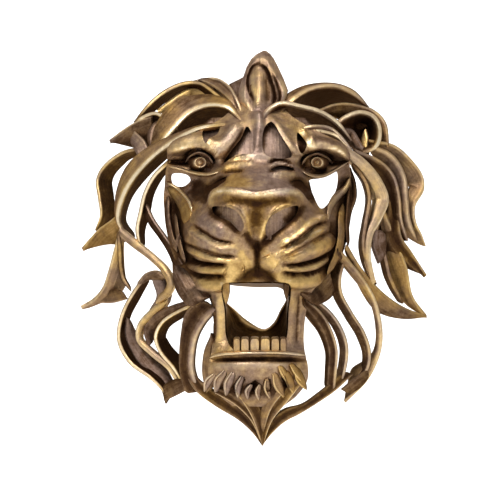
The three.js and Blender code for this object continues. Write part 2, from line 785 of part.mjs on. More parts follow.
// The chin's tufts: short tapered locks hanging side by side.
function chinTufts() {
  const count = 6;
  const top = 366;
  const list = [];
  for (let i = 0; i < count; i += 1) {
    const share = (2 * i) / (count - 1) - 1;
    const column = CENTRE_COLUMN + 43 * share;
    const sway = 7 * share;
    const length = 26 + 3 * (i % 2);
    list.push({
      path: [
        [column - 3, top],
        [column - 3 + sway * 0.2, top + length / 2],
        [column - sway * 0.6, top + length],
      ],
      width: [-11, -11, -2],
      lift: [3, 8, 8],
      drop: [2],
      crown: 4,
    });
  }
  return list.map(strap);
}

// Beard strands that run together at the tip.
function beard() {
  return [
    {
      path: [[214, 392], [236, 404], [252, 420], [262, 442]],
      width: [-12, -14, -9, -2], lift: [44, 42, 38, 36], drop: [-3], wall: 4,
    },
    {
      path: [[240, 394], [252, 412], [262, 441]],
      width: [-14, -12, -2], lift: [50, 44, 38], drop: [-3], wall: 4,
    },
    {
      path: [[300, 384], [286, 400], [272, 418], [262, 443]],
      width: [12, 12, 9, 2], lift: [48, 44, 40, 37], drop: [-3], wall: 4, crown: 2,
    },
    {
      path: [[282, 392], [270, 410], [262, 430]],
      width: [12, 10, 2], lift: [52, 48, 42], drop: [-3], wall: 4,
    },
  ].map(lock);
}

// A peg such as a tooth or an eye, standing out of the face and drawn in at its end.
function peg({ column, row, across, down, from, to, sides, tip }) {
  const rings = [[0, 1], [0.75, 1], [1, tip]].map(([share, scale]) => {
    const ring = [];
    for (let j = 0; j < sides; j += 1) {
      const angle = (2 * Math.PI * (j + 0.5)) / sides;
      const atColumn = column + across * scale * Math.cos(angle);
      const atRow = row + down * scale * Math.sin(angle);
      ring.push(place(atColumn, atRow, from + (to - from) * share));
    }
    return ring;
  });
  return solidFromRings(rings);
}

const EYES = [201, 316];
const EYE_ROW = 164;

function eyes() {
  return EYES.flatMap((column) => {
    const depth = faceDepth(column, EYE_ROW);
    return [
      peg({ column, row: EYE_ROW, across: 11, down: 9, from: depth - 5, to: depth + 9, sides: 8, tip: 0.6 }),
      peg({ column, row: EYE_ROW - 1, across: 3, down: 3, from: depth, to: depth + 12, sides: 5, tip: 0.6 }),
    ];
  });
}

// Lower teeth standing behind the lip, and the two upper fangs.
const TEETH = { count: 5, first: 239, pitch: 10.5, row: 343, across: 7, down: 9, from: 140, to: 168 };
const FANGS = { columns: [225, 288], row: 288, across: 5, down: 12, from: 150, to: 180 };

function teeth() {
  const solids = [];
  for (let i = 0; i < TEETH.count; i += 1) {
    solids.push(peg({ ...TEETH, column: TEETH.first + TEETH.pitch * i, sides: 4, tip: 0.8 }));
  }
  for (const column of FANGS.columns) {
    solids.push(peg({ ...FANGS, column, sides: 4, tip: 0.6 }));
  }
  return solids;
}

// Throat: a funnel from the gaping lips back to its smaller inner opening.
const LIPS = [
  [223, 284], [238, 281], [258, 281], [278, 281], [289, 284], [288, 310],
  [286, 336], [280, 348], [258, 349], [234, 348], [227, 337], [225, 310],
];
const THROAT = [
  [226, 286], [240, 286], [256, 287], [270, 287], [283, 287], [286, 297],
  [280, 309], [273, 322], [264, 328], [248, 320], [234, 308], [226, 300],
];

function throat() {
  const rings = [];
  const outer = [];
  const inner = [];
  const behind = [];
  const rim = [];
  for (let j = 0; j < LIPS.length; j += 1) {
    const [lipColumn, lipRow] = LIPS[j];
    const [column, row] = THROAT[j];
    const out = new THREE.Vector2(lipColumn - CENTRE_COLUMN, lipRow - 315).normalize().multiplyScalar(7);
    const lipDepth = faceDepth(lipColumn, lipRow);
    outer.push(place(lipColumn + out.x, lipRow + out.y, lipDepth - 9));
    inner.push(place(lipColumn - out.x * 0.3, lipRow - out.y * 0.3, lipDepth - 6));
    behind.push(place(column + out.x * 0.6, row + out.y * 0.6, 104));
    rim.push(place(column, row, 112));
  }
  rings.push(outer, inner, rim, behind);
  const points = rings.flat();
  const size = LIPS.length;
  const faces = [];
  for (let i = 0; i < rings.length; i += 1) {
    for (let j = 0; j < size; j += 1) {
      const a = i * size + j;
      const b = i * size + ((j + 1) % size);
      const c = ((i + 1) % rings.length) * size + j;
      const d = ((i + 1) % rings.length) * size + ((j + 1) % size);
      faces.push([a, b, d], [a, d, c]);
    }
  }
  return solidFromFaces(points, faces);
}

// Outlines pierced in the sheet of the face, and the depth that each one starts from.
const FACE_PIERCINGS = [
  { outline: LIPS, from: 90 },
  {
    outline: [
      [213, 208], [222, 208], [232, 210], [240, 217],
      [243, 228], [240, 231], [230, 222], [214, 214],
    ],
    from: 60,
  },
  {
    outline: [
      [297, 208], [290, 208], [280, 212], [270, 218],
      [265, 230], [268, 238], [280, 230], [294, 217],
    ],
    from: 60,
  },
  { outline: [[203, 133], [209, 129], [220, 127], [218, 136], [208, 142]], from: 60 },
  { outline: [[297, 134], [303, 140], [306, 147], [300, 155], [297, 146]], from: 60 },
  { outline: [[241, 141], [246, 129], [252, 136], [252, 154], [238, 155], [232, 157]], from: 60 },
  { outline: [[264, 130], [271, 124], [281, 138], [291, 158], [265, 156]], from: 60 },
  { outline: [[173, 175], [188, 176], [191, 181], [184, 187], [174, 185]], from: 40 },
  {
    outline: [
      [308, 182], [320, 179], [335, 172], [336, 187],
      [328, 203], [320, 209], [312, 195],
    ],
    from: 40,
  },
  { outline: [[227, 178], [216, 183], [208, 191], [204, 201], [207, 199], [214, 189]], from: 60 },
  { outline: [[290, 183], [299, 181], [305, 187], [311, 199], [301, 190]], from: 60 },
];

// Boss at the back that meets the wall, with the neck that carries the crest.
function hangingBoss() {
  const section = (half, low, top, y) => [
    new THREE.Vector3(-half, y, low),
    new THREE.Vector3(half, y, low),
    new THREE.Vector3(half, y, top),
    new THREE.Vector3(-half, y, top),
  ];
  const half = BOSS_WIDTH / 2;
  const neck = NECK_WIDTH / 2;
  const neckLow = BOSS_LOW + NECK_MARGIN;
  const neckTop = BOSS_TOP - NECK_MARGIN;
  const foreheadRow = ORIGIN_ROW - (neckLow + neckTop) / 2 / ROW;
  const front = -faceDepth(CENTRE_COLUMN, Math.max(foreheadRow, FACE_STATIONS[0][0])) * LAYER;
  return solidFromRings([
    section(half, BOSS_LOW, BOSS_TOP, 0),
    section(half, BOSS_LOW, BOSS_TOP, -BOSS_THICK),
    section(neck, neckLow, neckTop, -BOSS_THICK - NECK_MARGIN),
    section(neck, neckLow, neckTop, front + FACE_WALL / 2),
  ]);
}

// Keyhole: a round entry, a narrow slot above it, and room for the screw's head behind.
function keyhole() {
  const round = (radius, z, from, to) => {
    const sides = 12;
    return solidFromRings([from, to].map((y) => {
      const ring = [];
      for (let j = 0; j < sides; j += 1) {
        const angle = (2 * Math.PI * j) / sides;
        ring.push(new THREE.Vector3(radius * Math.cos(angle), y, z + radius * Math.sin(angle)));
      }
      return ring;
    }));
  };
  const slot = (radius, from, to) => solidFromRings([from, to].map((y) => [
    new THREE.Vector3(-radius, y, KEYHOLE_ENTRY),
    new THREE.Vector3(radius, y, KEYHOLE_ENTRY),
    new THREE.Vector3(radius, y, KEYHOLE_TOP),
    new THREE.Vector3(-radius, y, KEYHOLE_TOP),
  ]));
  return [
    round(KEYHOLE_HEAD_R, KEYHOLE_ENTRY, 1, -KEYHOLE_DEPTH),
    round(KEYHOLE_SLOT_R, KEYHOLE_TOP, 1, -KEYHOLE_LIP - 1),
    slot(KEYHOLE_SLOT_R, 1, -KEYHOLE_LIP - 1),
    round(KEYHOLE_HEAD_R, KEYHOLE_TOP, -KEYHOLE_LIP, -KEYHOLE_DEPTH),
    slot(KEYHOLE_HEAD_R, -KEYHOLE_LIP, -KEYHOLE_DEPTH),
  ];
}

// Largest skin of a solid: bubbles closed in between crossing straps are filled.
function outerSkin(solid) {
  const { vertProperties, triVerts, numProp } = solid.getMesh();
  const count = vertProperties.length / numProp;
  const parent = Array.from({ length: count }, (_, i) => i);
  const root = (i) => {
    let at = i;
    while (parent[at] !== at) {
      parent[at] = parent[parent[at]];
      at = parent[at];
    }
    return at;
  };
  for (let i = 0; i < triVerts.length; i += 3) {
    parent[root(triVerts[i])] = root(triVerts[i + 1]);
    parent[root(triVerts[i + 1])] = root(triVerts[i + 2]);
  }
  const sizes = new Map();
  for (let i = 0; i < triVerts.length; i += 3) {
    const key = root(triVerts[i]);
    sizes.set(key, (sizes.get(key) ?? 0) + 1);
  }
  const [largest] = [...sizes.entries()].reduce((best, item) => (item[1] > best[1] ? item : best));
  const renumber = new Map();
  const positions = [];
  const index = [];
  for (const vertex of triVerts) {
    if (root(vertex) === largest) {
      if (!renumber.has(vertex)) {
        renumber.set(vertex, positions.length / 3);
        positions.push(...vertProperties.slice(vertex * numProp, vertex * numProp + 3));
      }
      index.push(renumber.get(vertex));
    }
  }
  return { positions, index };
}

function meshOf(solid, name) {
  const { positions, index } = outerSkin(solid);
  const geometry = new THREE.BufferGeometry();
  geometry.setAttribute('position', new THREE.BufferAttribute(new Float32Array(positions), 3));
  geometry.setIndex(new THREE.BufferAttribute(new Uint32Array(index), 1));
  geometry.computeVertexNormals();
  const mesh = new THREE.Mesh(geometry, MATERIAL);
  mesh.name = name;
  return mesh;
}

const added = [
  lining(),
  throat(),
  ...teeth(),
  ...eyes(),
  ...features(),
  ...whiskerPads(),
  ...chinTufts(),
  ...beard(),
  crest(),
  ...leftMane(),
  ...rightMane(),
  hangingBoss(),
];
const cuts = FACE_PIERCINGS.map(({ outline, from }) => piercing(outline, from));
const pierced = cuts.reduce((solid, cut) => solid.subtract(cut), faceSheet());
const joined = added.reduce((solid, part) => solid.add(part), pierced);
const casting = keyhole().reduce((solid, cut) => solid.subtract(cut), joined);

const group = new THREE.Group();
group.add(meshOf(casting, 'lion_mask'));

export default group;
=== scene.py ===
"""Lion head wall mask: one openwork casting with an antique bronze finish, on a pale stage."""

from __future__ import annotations

import json
import logging
import math
from dataclasses import dataclass, field
from enum import Enum
from typing import Sequence

import bpy
import numpy as np
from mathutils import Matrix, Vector

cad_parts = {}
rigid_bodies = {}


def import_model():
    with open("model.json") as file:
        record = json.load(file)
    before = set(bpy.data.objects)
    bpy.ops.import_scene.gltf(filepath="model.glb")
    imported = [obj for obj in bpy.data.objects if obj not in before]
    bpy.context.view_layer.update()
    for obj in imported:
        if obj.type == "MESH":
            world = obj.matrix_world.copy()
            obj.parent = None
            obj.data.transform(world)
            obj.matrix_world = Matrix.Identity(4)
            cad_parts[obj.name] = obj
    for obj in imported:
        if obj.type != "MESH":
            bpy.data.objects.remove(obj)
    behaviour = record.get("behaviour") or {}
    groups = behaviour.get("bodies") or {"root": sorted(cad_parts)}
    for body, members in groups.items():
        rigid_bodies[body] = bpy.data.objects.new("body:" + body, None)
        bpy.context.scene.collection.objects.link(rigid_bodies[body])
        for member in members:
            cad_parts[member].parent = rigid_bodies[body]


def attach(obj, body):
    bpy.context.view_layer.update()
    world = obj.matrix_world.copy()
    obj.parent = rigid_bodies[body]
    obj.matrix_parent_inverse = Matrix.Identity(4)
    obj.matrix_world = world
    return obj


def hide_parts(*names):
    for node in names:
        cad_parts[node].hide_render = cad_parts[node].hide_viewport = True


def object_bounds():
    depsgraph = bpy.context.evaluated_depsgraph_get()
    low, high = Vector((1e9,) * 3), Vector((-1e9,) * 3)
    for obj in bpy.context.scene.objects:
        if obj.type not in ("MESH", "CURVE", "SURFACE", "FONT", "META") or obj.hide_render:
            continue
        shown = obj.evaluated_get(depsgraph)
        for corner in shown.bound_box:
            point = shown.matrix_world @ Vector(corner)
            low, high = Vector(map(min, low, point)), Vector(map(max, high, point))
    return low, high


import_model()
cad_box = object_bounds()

LOG = logging.getLogger("lion_mask")
BODY = "root"
NODE = "lion_mask"

Numbers = Sequence[float]
Path = Sequence[tuple[float, float]]
Place = tuple[float, float, float]
Colour = tuple[float, float, float]

# Walls are real sizes, and the lowest depth is in squares.
LOCK_WALL = 0.0025
FACE_WALL = 0.0032
LOWEST_DEPTH = 2.5
# Painted shade: the dark tone of every back and sunken wall.
PAINTED_SHADE_TONE = 0.12
GRAIN_STEP = 1e-3


@dataclass(frozen=True)
class CarvingGrid:
    """The squared grid that the carving is laid out on, seen from the front."""

    width: float = 0.178
    height: float = 0.2
    depth: float = 0.12
    columns: int = 349
    rows: int = 392
    layers: int = 235
    centre_column: float = 258.0
    origin_row: float = 88.0

    @property
    def steps(self) -> np.ndarray:
        """Real size of one square along x, y and z."""
        return np.array([self.width / self.columns, -self.depth / self.layers, -self.height / self.rows])

    @property
    def unit(self) -> float:
        """Real size of one square."""
        return self.height / self.rows

    def place(self, column: np.ndarray, row: np.ndarray, depth: np.ndarray) -> np.ndarray:
        """Real places: column and row are taken from the origin's own and times the step.

        Args:
            column: squares to the right.
            row: squares down.
            depth: squares forward from the wall.

        Returns:
            The points, with x, y and z last.
        """
        column, row, depth = np.broadcast_arrays(column, row, depth)
        counted = np.stack([column - self.centre_column, depth, row - self.origin_row], axis=-1)
        return counted * self.steps

    def read(self, points: np.ndarray) -> tuple[np.ndarray, np.ndarray, np.ndarray]:
        """Column, row and depth of real points, the inverse of place."""
        counted = points / self.steps
        return counted[..., 0] + self.centre_column, counted[..., 2] + self.origin_row, counted[..., 1]


GRID = CarvingGrid()


@dataclass(frozen=True)
class Bed:
    """The domed bed that the mane lies on, highest behind the face."""

    row: float = 215
    peak: float = 140
    across: float = 178
    above: float = 165
    below: float = 330
    fall: float = 1.6

    def depth(self, column: np.ndarray, row: np.ndarray) -> np.ndarray:
        """Peak times one minus the radius to the power of the fall, and never below zero.

        Args:
            column: columns of the points.
            row: rows of the points.

        Returns:
            The depth of each, in squares.
        """
        reach = np.where(row < self.row, self.above, self.below)
        radius = np.hypot((column - GRID.centre_column) / self.across, (row - self.row) / reach)
        return np.maximum(0, self.peak * (1 - radius**self.fall))


BED = Bed()


def hermite(
    t: np.ndarray, start: np.ndarray, end: np.ndarray, slope_from: np.ndarray, slope_to: np.ndarray
) -> np.ndarray:
    """Cubic between two values with a given slope at each.

    Args:
        t: share of the way, from 0 to 1.
        start: value at 0.
        end: value at 1.
        slope_from: slope at 0.
        slope_to: slope at 1.

    Returns:
        The value at each share.
    """
    cubic = 2 * t**3 - 3 * t**2
    rise = (t**3 - 2 * t**2 + t) * slope_from + (t**3 - t**2) * slope_to
    return (1 + cubic) * start - cubic * end + rise


def spread(values: Numbers, share: np.ndarray) -> np.ndarray:
    """Smooth value at each share of a list of values spread evenly along a line.

    A cubic runs through the values, with the slope at each one taken from its two neighbours.

    Args:
        values: the values, or one for the whole line.
        share: shares of the line, from 0 to 1.

    Returns:
        The value at each share.
    """
    data = np.asarray(values, float)
    if len(data) == 1:
        return np.full_like(share, data[0])
    last = len(data) - 1
    at = np.clip(share, 0, 1) * last
    i = np.minimum(at.astype(int), last - 1)
    slope = np.gradient(data)
    return hermite(at - i, data[i], data[i + 1], slope[i], slope[i + 1])


def root_gap(a: np.ndarray, b: np.ndarray) -> np.ndarray:
    """Square root of the distance from each point to its partner, as a column."""
    return np.maximum(np.linalg.norm(b - a, axis=1), 1e-6)[:, None] ** 0.5


def smooth_path(points: Path, count: int, closed: bool = False) -> tuple[np.ndarray, np.ndarray]:
    """Points spread evenly by length along a smooth curve through the given ones.

    Each stretch is a cubic whose end slopes are set by the neighbours, weighted by the square
    root of the distances between them, and the result is read off at equal lengths.

    Args:
        points: the columns and rows to pass through.
        count: how many points to return.
        closed: whether the curve runs back to its start.

    Returns:
        The points and the unit headings, each of shape count by 2.
    """
    p = np.asarray(points, float)
    if closed:
        padded = np.concatenate([p[-1:], p, p[:2]])
    else:
        padded = np.concatenate([2 * p[:1] - p[1:2], p, 2 * p[-1:] - p[-2:-1]])
    p0, p1, p2, p3 = padded[:-3], padded[1:-2], padded[2:-1], padded[3:]
    d0, d1, d2 = root_gap(p0, p1), root_gap(p1, p2), root_gap(p2, p3)
    m1 = ((p1 - p0) / d0 - (p2 - p0) / (d0 + d1) + (p2 - p1) / d1) * d1
    m2 = ((p2 - p1) / d1 - (p3 - p1) / (d1 + d2) + (p3 - p2) / d2) * d1
    t = np.linspace(0, 1, 25)[:-1, None, None]
    fine = hermite(t, p1, p2, m1, m2)
    fine = fine.transpose(1, 0, 2).reshape(-1, 2)
    fine = np.concatenate([fine, p2[-1:]])
    length = np.concatenate([[0], np.cumsum(np.linalg.norm(np.diff(fine, axis=0), axis=1))])
    wanted = np.linspace(0, length[-1], count, endpoint=not closed)
    out = np.stack([np.interp(wanted, length, fine[:, i]) for i in range(2)], axis=1)
    if closed:
        heading = np.roll(out, -1, axis=0) - np.roll(out, 1, axis=0)
    else:
        heading = np.gradient(out, axis=0)
    heading /= np.maximum(np.linalg.norm(heading, axis=1), 1e-9)[:, None]
    return out, heading


def path_length(points: Path) -> float:
    """Length of the straight lines between the points."""
    return float(np.linalg.norm(np.diff(np.asarray(points, float), axis=0), axis=1).sum())


@dataclass
class Skin:
    """A closed skin. Tone, with painted shade and highlight, runs from hollow to rim; ochre from grey to
    golden.
    """

    points: np.ndarray
    quads: np.ndarray
    triangles: np.ndarray
    tone: np.ndarray
    ochre: np.ndarray
    grain: np.ndarray

    def outward(self) -> Skin:
        """Turns the faces outwards, judged by the signed volume that they close.

        Returns:
            The same skin.
        """
        p, q, t = self.points, self.quads, self.triangles
        corners = np.concatenate([q[:, [0, 1, 2]], q[:, [0, 2, 3]], t.reshape(-1, 3)])
        a, b, c = (p[corners[:, i]] for i in range(3))
        if np.einsum("ij,ij->i", np.cross(a, b), c).sum() < 0:
            self.quads = q[:, ::-1]
            self.triangles = t[:, ::-1]
        return self


NO_QUADS = np.zeros((0, 4), int)
NO_TRIANGLES = np.zeros((0, 3), int)


def joined(skins: Sequence[Skin]) -> Skin:
    """Joins skins, with the point numbers of each moved past those before it.

    Args:
        skins: the skins.

    Returns:
        All of them as one.
    """
    starts = np.cumsum([0] + [len(s.points) for s in skins[:-1]])
    return Skin(
        np.concatenate([s.points for s in skins]),
        np.concatenate([s.quads + k for s, k in zip(skins, starts)]),
        np.concatenate([s.triangles.reshape(-1, 3) + k for s, k in zip(skins, starts)]),
        np.concatenate([s.tone for s in skins]),
        np.concatenate([s.ochre for s in skins]),
        np.concatenate([s.grain for s in skins]),
    )


def ring_skin(
    rings: np.ndarray, tone: np.ndarray, ochre: np.ndarray, grain: np.ndarray, looped: bool = False
) -> Skin:
    """Closed skin from rings of equal size: quads between rings and a fan over each end.

    Args:
        rings: points, of shape rings by size by 3.
        tone: tone of each point.
        ochre: ochre of each point.
        grain: grain coordinates of each point.
        looped: whether the last ring joins the first, with no ends.

    Returns:
        The skin, facing outwards.
    """
    count, size = rings.shape[:2]
    number = np.arange(count * size).reshape(count, size)
    here = number if looped else number[:-1]
    following = np.roll(number, -1, axis=0) if looped else number[1:]
    corners = [here, np.roll(here, -1, axis=1), np.roll(following, -1, axis=1), following]
    quads = np.stack(corners, axis=-1).reshape(-1, 4)
    points, tones = rings.reshape(-1, 3), tone.reshape(-1)
    ochres, grains = ochre.reshape(-1), grain.reshape(-1, 3)
    triangles = NO_TRIANGLES
    if not looped:
        middles = rings[[0, -1]].mean(axis=1)
        around = np.arange(size)
        beside = (around + 1) % size
        first, last = np.full(size, len(points)), np.full(size, len(points) + 1)
        end = (count - 1) * size
        triangles = np.concatenate(
            [
                np.stack([first, beside, around], axis=1),
                np.stack([last, end + around, end + beside], axis=1),
            ]
        )
        points = np.concatenate([points, middles])
        tones = np.concatenate([tones, tone[[0, -1]].mean(axis=1)])
        ochres = np.concatenate([ochres, ochre[[0, -1]].mean(axis=1)])
        grains = np.concatenate([grains, grain[[0, -1]].mean(axis=1)])
    return Skin(points, quads, triangles, tones, ochres, grains).outward()


def bare_rings(rings: np.ndarray) -> Skin:
    """Closed skin from rings, without tones."""
    flat = np.zeros(rings.shape[:2])
    return ring_skin(rings, flat, flat, rings)


def grained(across: np.ndarray, along: np.ndarray, number: float) -> np.ndarray:
    """Grain coordinates: places across and along a form, and the number that sets it apart."""
    return np.stack(np.broadcast_arrays(across, along, number), axis=-1)


def unit_vectors(v: np.ndarray) -> np.ndarray:
    """Each vector over its own length."""
    return v / np.maximum(np.linalg.norm(v, axis=-1, keepdims=True), 1e-12)


def turn(count: int) -> np.ndarray:
    """Angles spread evenly round a full turn."""
    return np.linspace(0, 2 * np.pi, count, endpoint=False)


def squared(wave: np.ndarray, power: float) -> np.ndarray:
    """A sine or cosine pushed out towards a square: its size to the power, with its sign."""
    return np.sign(wave) * np.abs(wave) ** power


def ease(t: np.ndarray) -> np.ndarray:
    """Rises from 0 to 1 with flat ends: three squares less two cubes."""
    t = np.clip(t, 0, 1)
    return 3 * t**2 - 2 * t**3


def flush_with_face(
    at: np.ndarray, share: np.ndarray, depth: np.ndarray, reach: float = 0.24, sink: float = 2.5
) -> np.ndarray:
    """Depths of a path whose ends, where they lie on the face, run down into its surface.

    Args:
        at: columns and rows of the path.
        share: share of the length at each.
        depth: depth without the blend.
        reach: share of the length over which an end runs down.
        sink: how far an end lies below the surface.

    Returns:
        The blended depths.
    """
    top, bottom = FACE_STATIONS[0, 0], FACE_STATIONS[-1, 0]
    surface = face_depth(at[:, 0], np.clip(at[:, 1], top, bottom)) - sink
    for tip, along in ((0, share), (-1, 1 - share)):
        column, row = at[tip]
        half = station(np.array([row]), Item.HALF_WIDTH)[0]
        if top < row < CHIN_ROW and abs(column - GRID.centre_column) < half:
            weight = 1 - ease(along / reach)
            depth = depth * (1 - weight) + surface * weight
    return depth


@dataclass
class Section:
    """A strap before it has thickness: arrays along its length and round its section.

    The share runs from the rim to the edge, and below zero over the wing. The top is 1 in
    front and -1 behind.
    """

    share: np.ndarray
    top: np.ndarray
    middle: np.ndarray
    facing: np.ndarray
    from_rim: np.ndarray
    from_edge: np.ndarray


def there_and_back(across: Numbers) -> tuple[np.ndarray, np.ndarray]:
    """Shares over the front and back in steps of two, and the side that each lies on."""
    front = np.array(across, float)
    back = front[-2:0:-2]
    return np.concatenate([front, back]), np.concatenate([np.ones(len(front)), -np.ones(len(back))])


@dataclass(frozen=True)
class Lock:
    """One lock of the mane: a strap whose bright rim follows the path.

    Its other edge lies at the width to the right of the path, or to the left where the width
    is negative, and deeper by the drop. The lift is the rim's height above the bed. A wing is
    a second side, folded back over the rim like a roof.
    """

    path: Path
    width: Numbers
    lift: Numbers
    drop: Numbers
    tone: float = 0.45
    ochre: float = 0.5
    # Rim tone: rubbed gold with a painted highlight, spread over the rim width.
    rim: float = 0.92
    wall: float = LOCK_WALL
    crown: float = 0
    wing: Numbers | None = None
    wing_drop: Numbers = (8,)
    wing_tone: float = 0.5
    folds: float = 0
    fold_depth: float = 0.0007
    bead: float = 0.0004
    bead_width: float = 0.0012
    rim_width: float = 0.0012
    round_end: float = 7
    step: float = 2.4
    lowest_rim: float = 3
    strap_shares: Numbers = (0, 0.02, 0.06, 0.13, 0.24, 0.37, 0.5, 0.63, 0.76, 0.87, 0.95, 1)
    roof_shares: Numbers = (-1, -0.94, -0.8, -0.6, -0.4, -0.2, -0.08, 0, 0.08, 0.2, 0.4, 0.6, 0.8, 0.94, 1)

    def skin(self, number: int) -> Skin:
        """The strap as a closed skin.

        Args:
            number: the lock's number, which shifts its grain.

        Returns:
            The closed skin.
        """
        length = path_length(self.path)
        count = int(np.clip(length / self.step, 14, 90))
        at, heading = smooth_path(self.path, count)
        share = np.linspace(0, 1, count)
        depth = np.maximum(BED.depth(at[:, 0], at[:, 1]) + spread(self.lift, share), self.lowest_rim)
        depth = flush_with_face(at, share, depth)
        ends = np.clip(np.minimum(share, 1 - share) * length / self.round_end, 0, 1)
        ends = 0.12 + 0.88 * np.sqrt(1 - (1 - ends) ** 2)
        near = GRID.place(at[:, 0], at[:, 1], depth)
        width, drop = spread(self.width, share) * ends, spread(self.drop, share) * ends
        far = self._edge(at, heading, depth, width, drop)
        if self.wing is None:
            section = self._strap(near, far)
        else:
            wing, wing_drop = spread(self.wing, share) * ends, spread(self.wing_drop, share) * ends
            section = self._roof(near, far, self._edge(at, heading, depth, wing, wing_drop))
        half = self.wall * np.minimum(1, 0.4 + 3 * (1 - share)) / 2 * (0.5 + 0.5 * ends)
        pleat = 0.5 - 0.5 * np.cos(2 * np.pi * self.folds * np.clip(section.share, 0, 1))
        height = self._height(section, half[:, None], pleat)
        rings = section.middle + section.facing * height[..., None]
        tone = self._tone(section, share, pleat)
        along = (share * length * GRID.unit)[:, None]
        grain = grained(section.from_rim * np.sign(section.share + 1e-9), along, number * 0.37)
        return ring_skin(rings, tone, np.full(tone.shape, self.ochre), grain)

    def _strap(self, near: np.ndarray, far: np.ndarray) -> Section:
        """The section from the rim straight across.

        Args:
            near: places of the rim.
            far: places of the other edge.

        Returns:
            The section, facing the front as a whole.
        """
        s, top = there_and_back(self.strap_shares)
        middle = near[:, None] + (far - near)[:, None] * s[None, :, None]
        facing = np.broadcast_to(self._facing(near, far)[:, None], middle.shape)
        span = np.linalg.norm(far - near, axis=1)[:, None]
        from_rim = span * s
        return Section(s, top, middle, facing, from_rim, np.minimum(from_rim, span * (1 - s)))

    def _roof(self, near: np.ndarray, far: np.ndarray, fold: np.ndarray) -> Section:
        """The section over the rim to both sides, its facing turned evenly past the rim.

        Args:
            near: places of the rim.
            far: places of the strap's edge.
            fold: places of the wing's edge.

        Returns:
            The section.
        """
        s, top = there_and_back(self.roof_shares)
        right = np.clip(s, 0, 1)[None, :, None]
        left = np.clip(-s, 0, 1)[None, :, None]
        middle = near[:, None] + (far - near)[:, None] * right + (fold - near)[:, None] * left
        mix = (np.clip(s / 0.25, -1, 1) * 0.5 + 0.5)[None, :, None]
        sides = [self._facing(near, edge)[:, None] for edge in (far, fold)]
        facing = unit_vectors(sides[0] * mix + sides[1] * (1 - mix))
        spans = [np.linalg.norm(edge - near, axis=1)[:, None] for edge in (far, fold)]
        span = np.where(s > 0, spans[0], spans[1])
        return Section(s, top, middle, facing, span * np.abs(s), span * (1 - np.abs(s)))

    def _height(self, section: Section, half: np.ndarray, pleat: np.ndarray) -> np.ndarray:
        """How far each point stands out from the section's middle.

        Half the thickness is the wall's half times a quarter circle near each edge, the top is
        raised by the crown times a half sine and by a bead at the rim, and lowered by pleats.

        Args:
            section: the strap without thickness.
            half: half the wall along the length.
            pleat: 0 on a ridge and 1 in a fold.

        Returns:
            The real height of each point, square to the section.
        """
        front = section.top > 0
        rounding = np.sqrt(np.clip(1 - (1 - np.clip(section.from_edge / half, 0, 1)) ** 2, 0, 1))
        thick = half * rounding * np.where(front, 1, 0.9)
        swell = np.sin(np.pi * np.clip(np.abs(section.share), 0, 1)) * self.crown * GRID.unit
        bead = self.bead * np.exp(-((section.from_rim / self.bead_width) ** 2)) * front
        groove = pleat * self.fold_depth * front * (self.folds > 0)
        return section.top * thick + swell + bead * np.sqrt(rounding) - groove

    def _tone(self, section: Section, share: np.ndarray, pleat: np.ndarray) -> np.ndarray:
        """Tones: painted shade off the rim, in pleats and behind; painted highlight and rubbed gold on the
        rim.

        Args:
            section: the strap without thickness.
            share: share of the length.
            pleat: 0 on a ridge and 1 in a fold.

        Returns:
            The tone of each point.
        """
        s = section.share
        tone = np.where(s < 0, self.wing_tone, self.tone) + 0 * section.from_rim
        # Painted shade across the strap away from the rim and in the pleats.
        tone = tone - 0.12 * np.clip(np.abs(s), 0, 1) - 0.3 * pleat * (self.folds > 0)
        # Painted highlight over the rubbed gold of the rim, weaker near the ends.
        reach = np.where(s > 0.001, self.rim_width * 0.55, self.rim_width)
        fade = 0.35 + 0.65 * ease(np.minimum(share, 1 - share) / 0.16)
        tone = tone + (self.rim - tone) * np.exp(-((section.from_rim / reach) ** 4)) * fade[:, None]
        # The back takes the painted shade tone.
        return np.where(section.top > 0, tone, np.minimum(tone, PAINTED_SHADE_TONE))

    @staticmethod
    def _edge(
        at: np.ndarray, heading: np.ndarray, depth: np.ndarray, width: np.ndarray, drop: np.ndarray
    ) -> np.ndarray:
        """Places beside the path, moved square to its heading by the width and back by the drop.

        Args:
            at: columns and rows of the path.
            heading: its unit headings.
            depth: its depths.
            width: squares to the side.
            drop: squares back.

        Returns:
            The real places.
        """
        column = at[:, 0] - heading[:, 1] * width
        row = at[:, 1] + heading[:, 0] * width
        return GRID.place(column, row, np.maximum(depth - drop, LOWEST_DEPTH))

    @staticmethod
    def _facing(near: np.ndarray, edge: np.ndarray) -> np.ndarray:
        """Directions square to the side between a rim and an edge, to the front as a whole."""
        normal = unit_vectors(np.cross(unit_vectors(np.gradient(near, axis=0)), edge - near))
        return -normal if normal[:, 1].sum() > 0 else normal


# Locks that end below this row stand free of the chin.
CHIN_ROW = 400

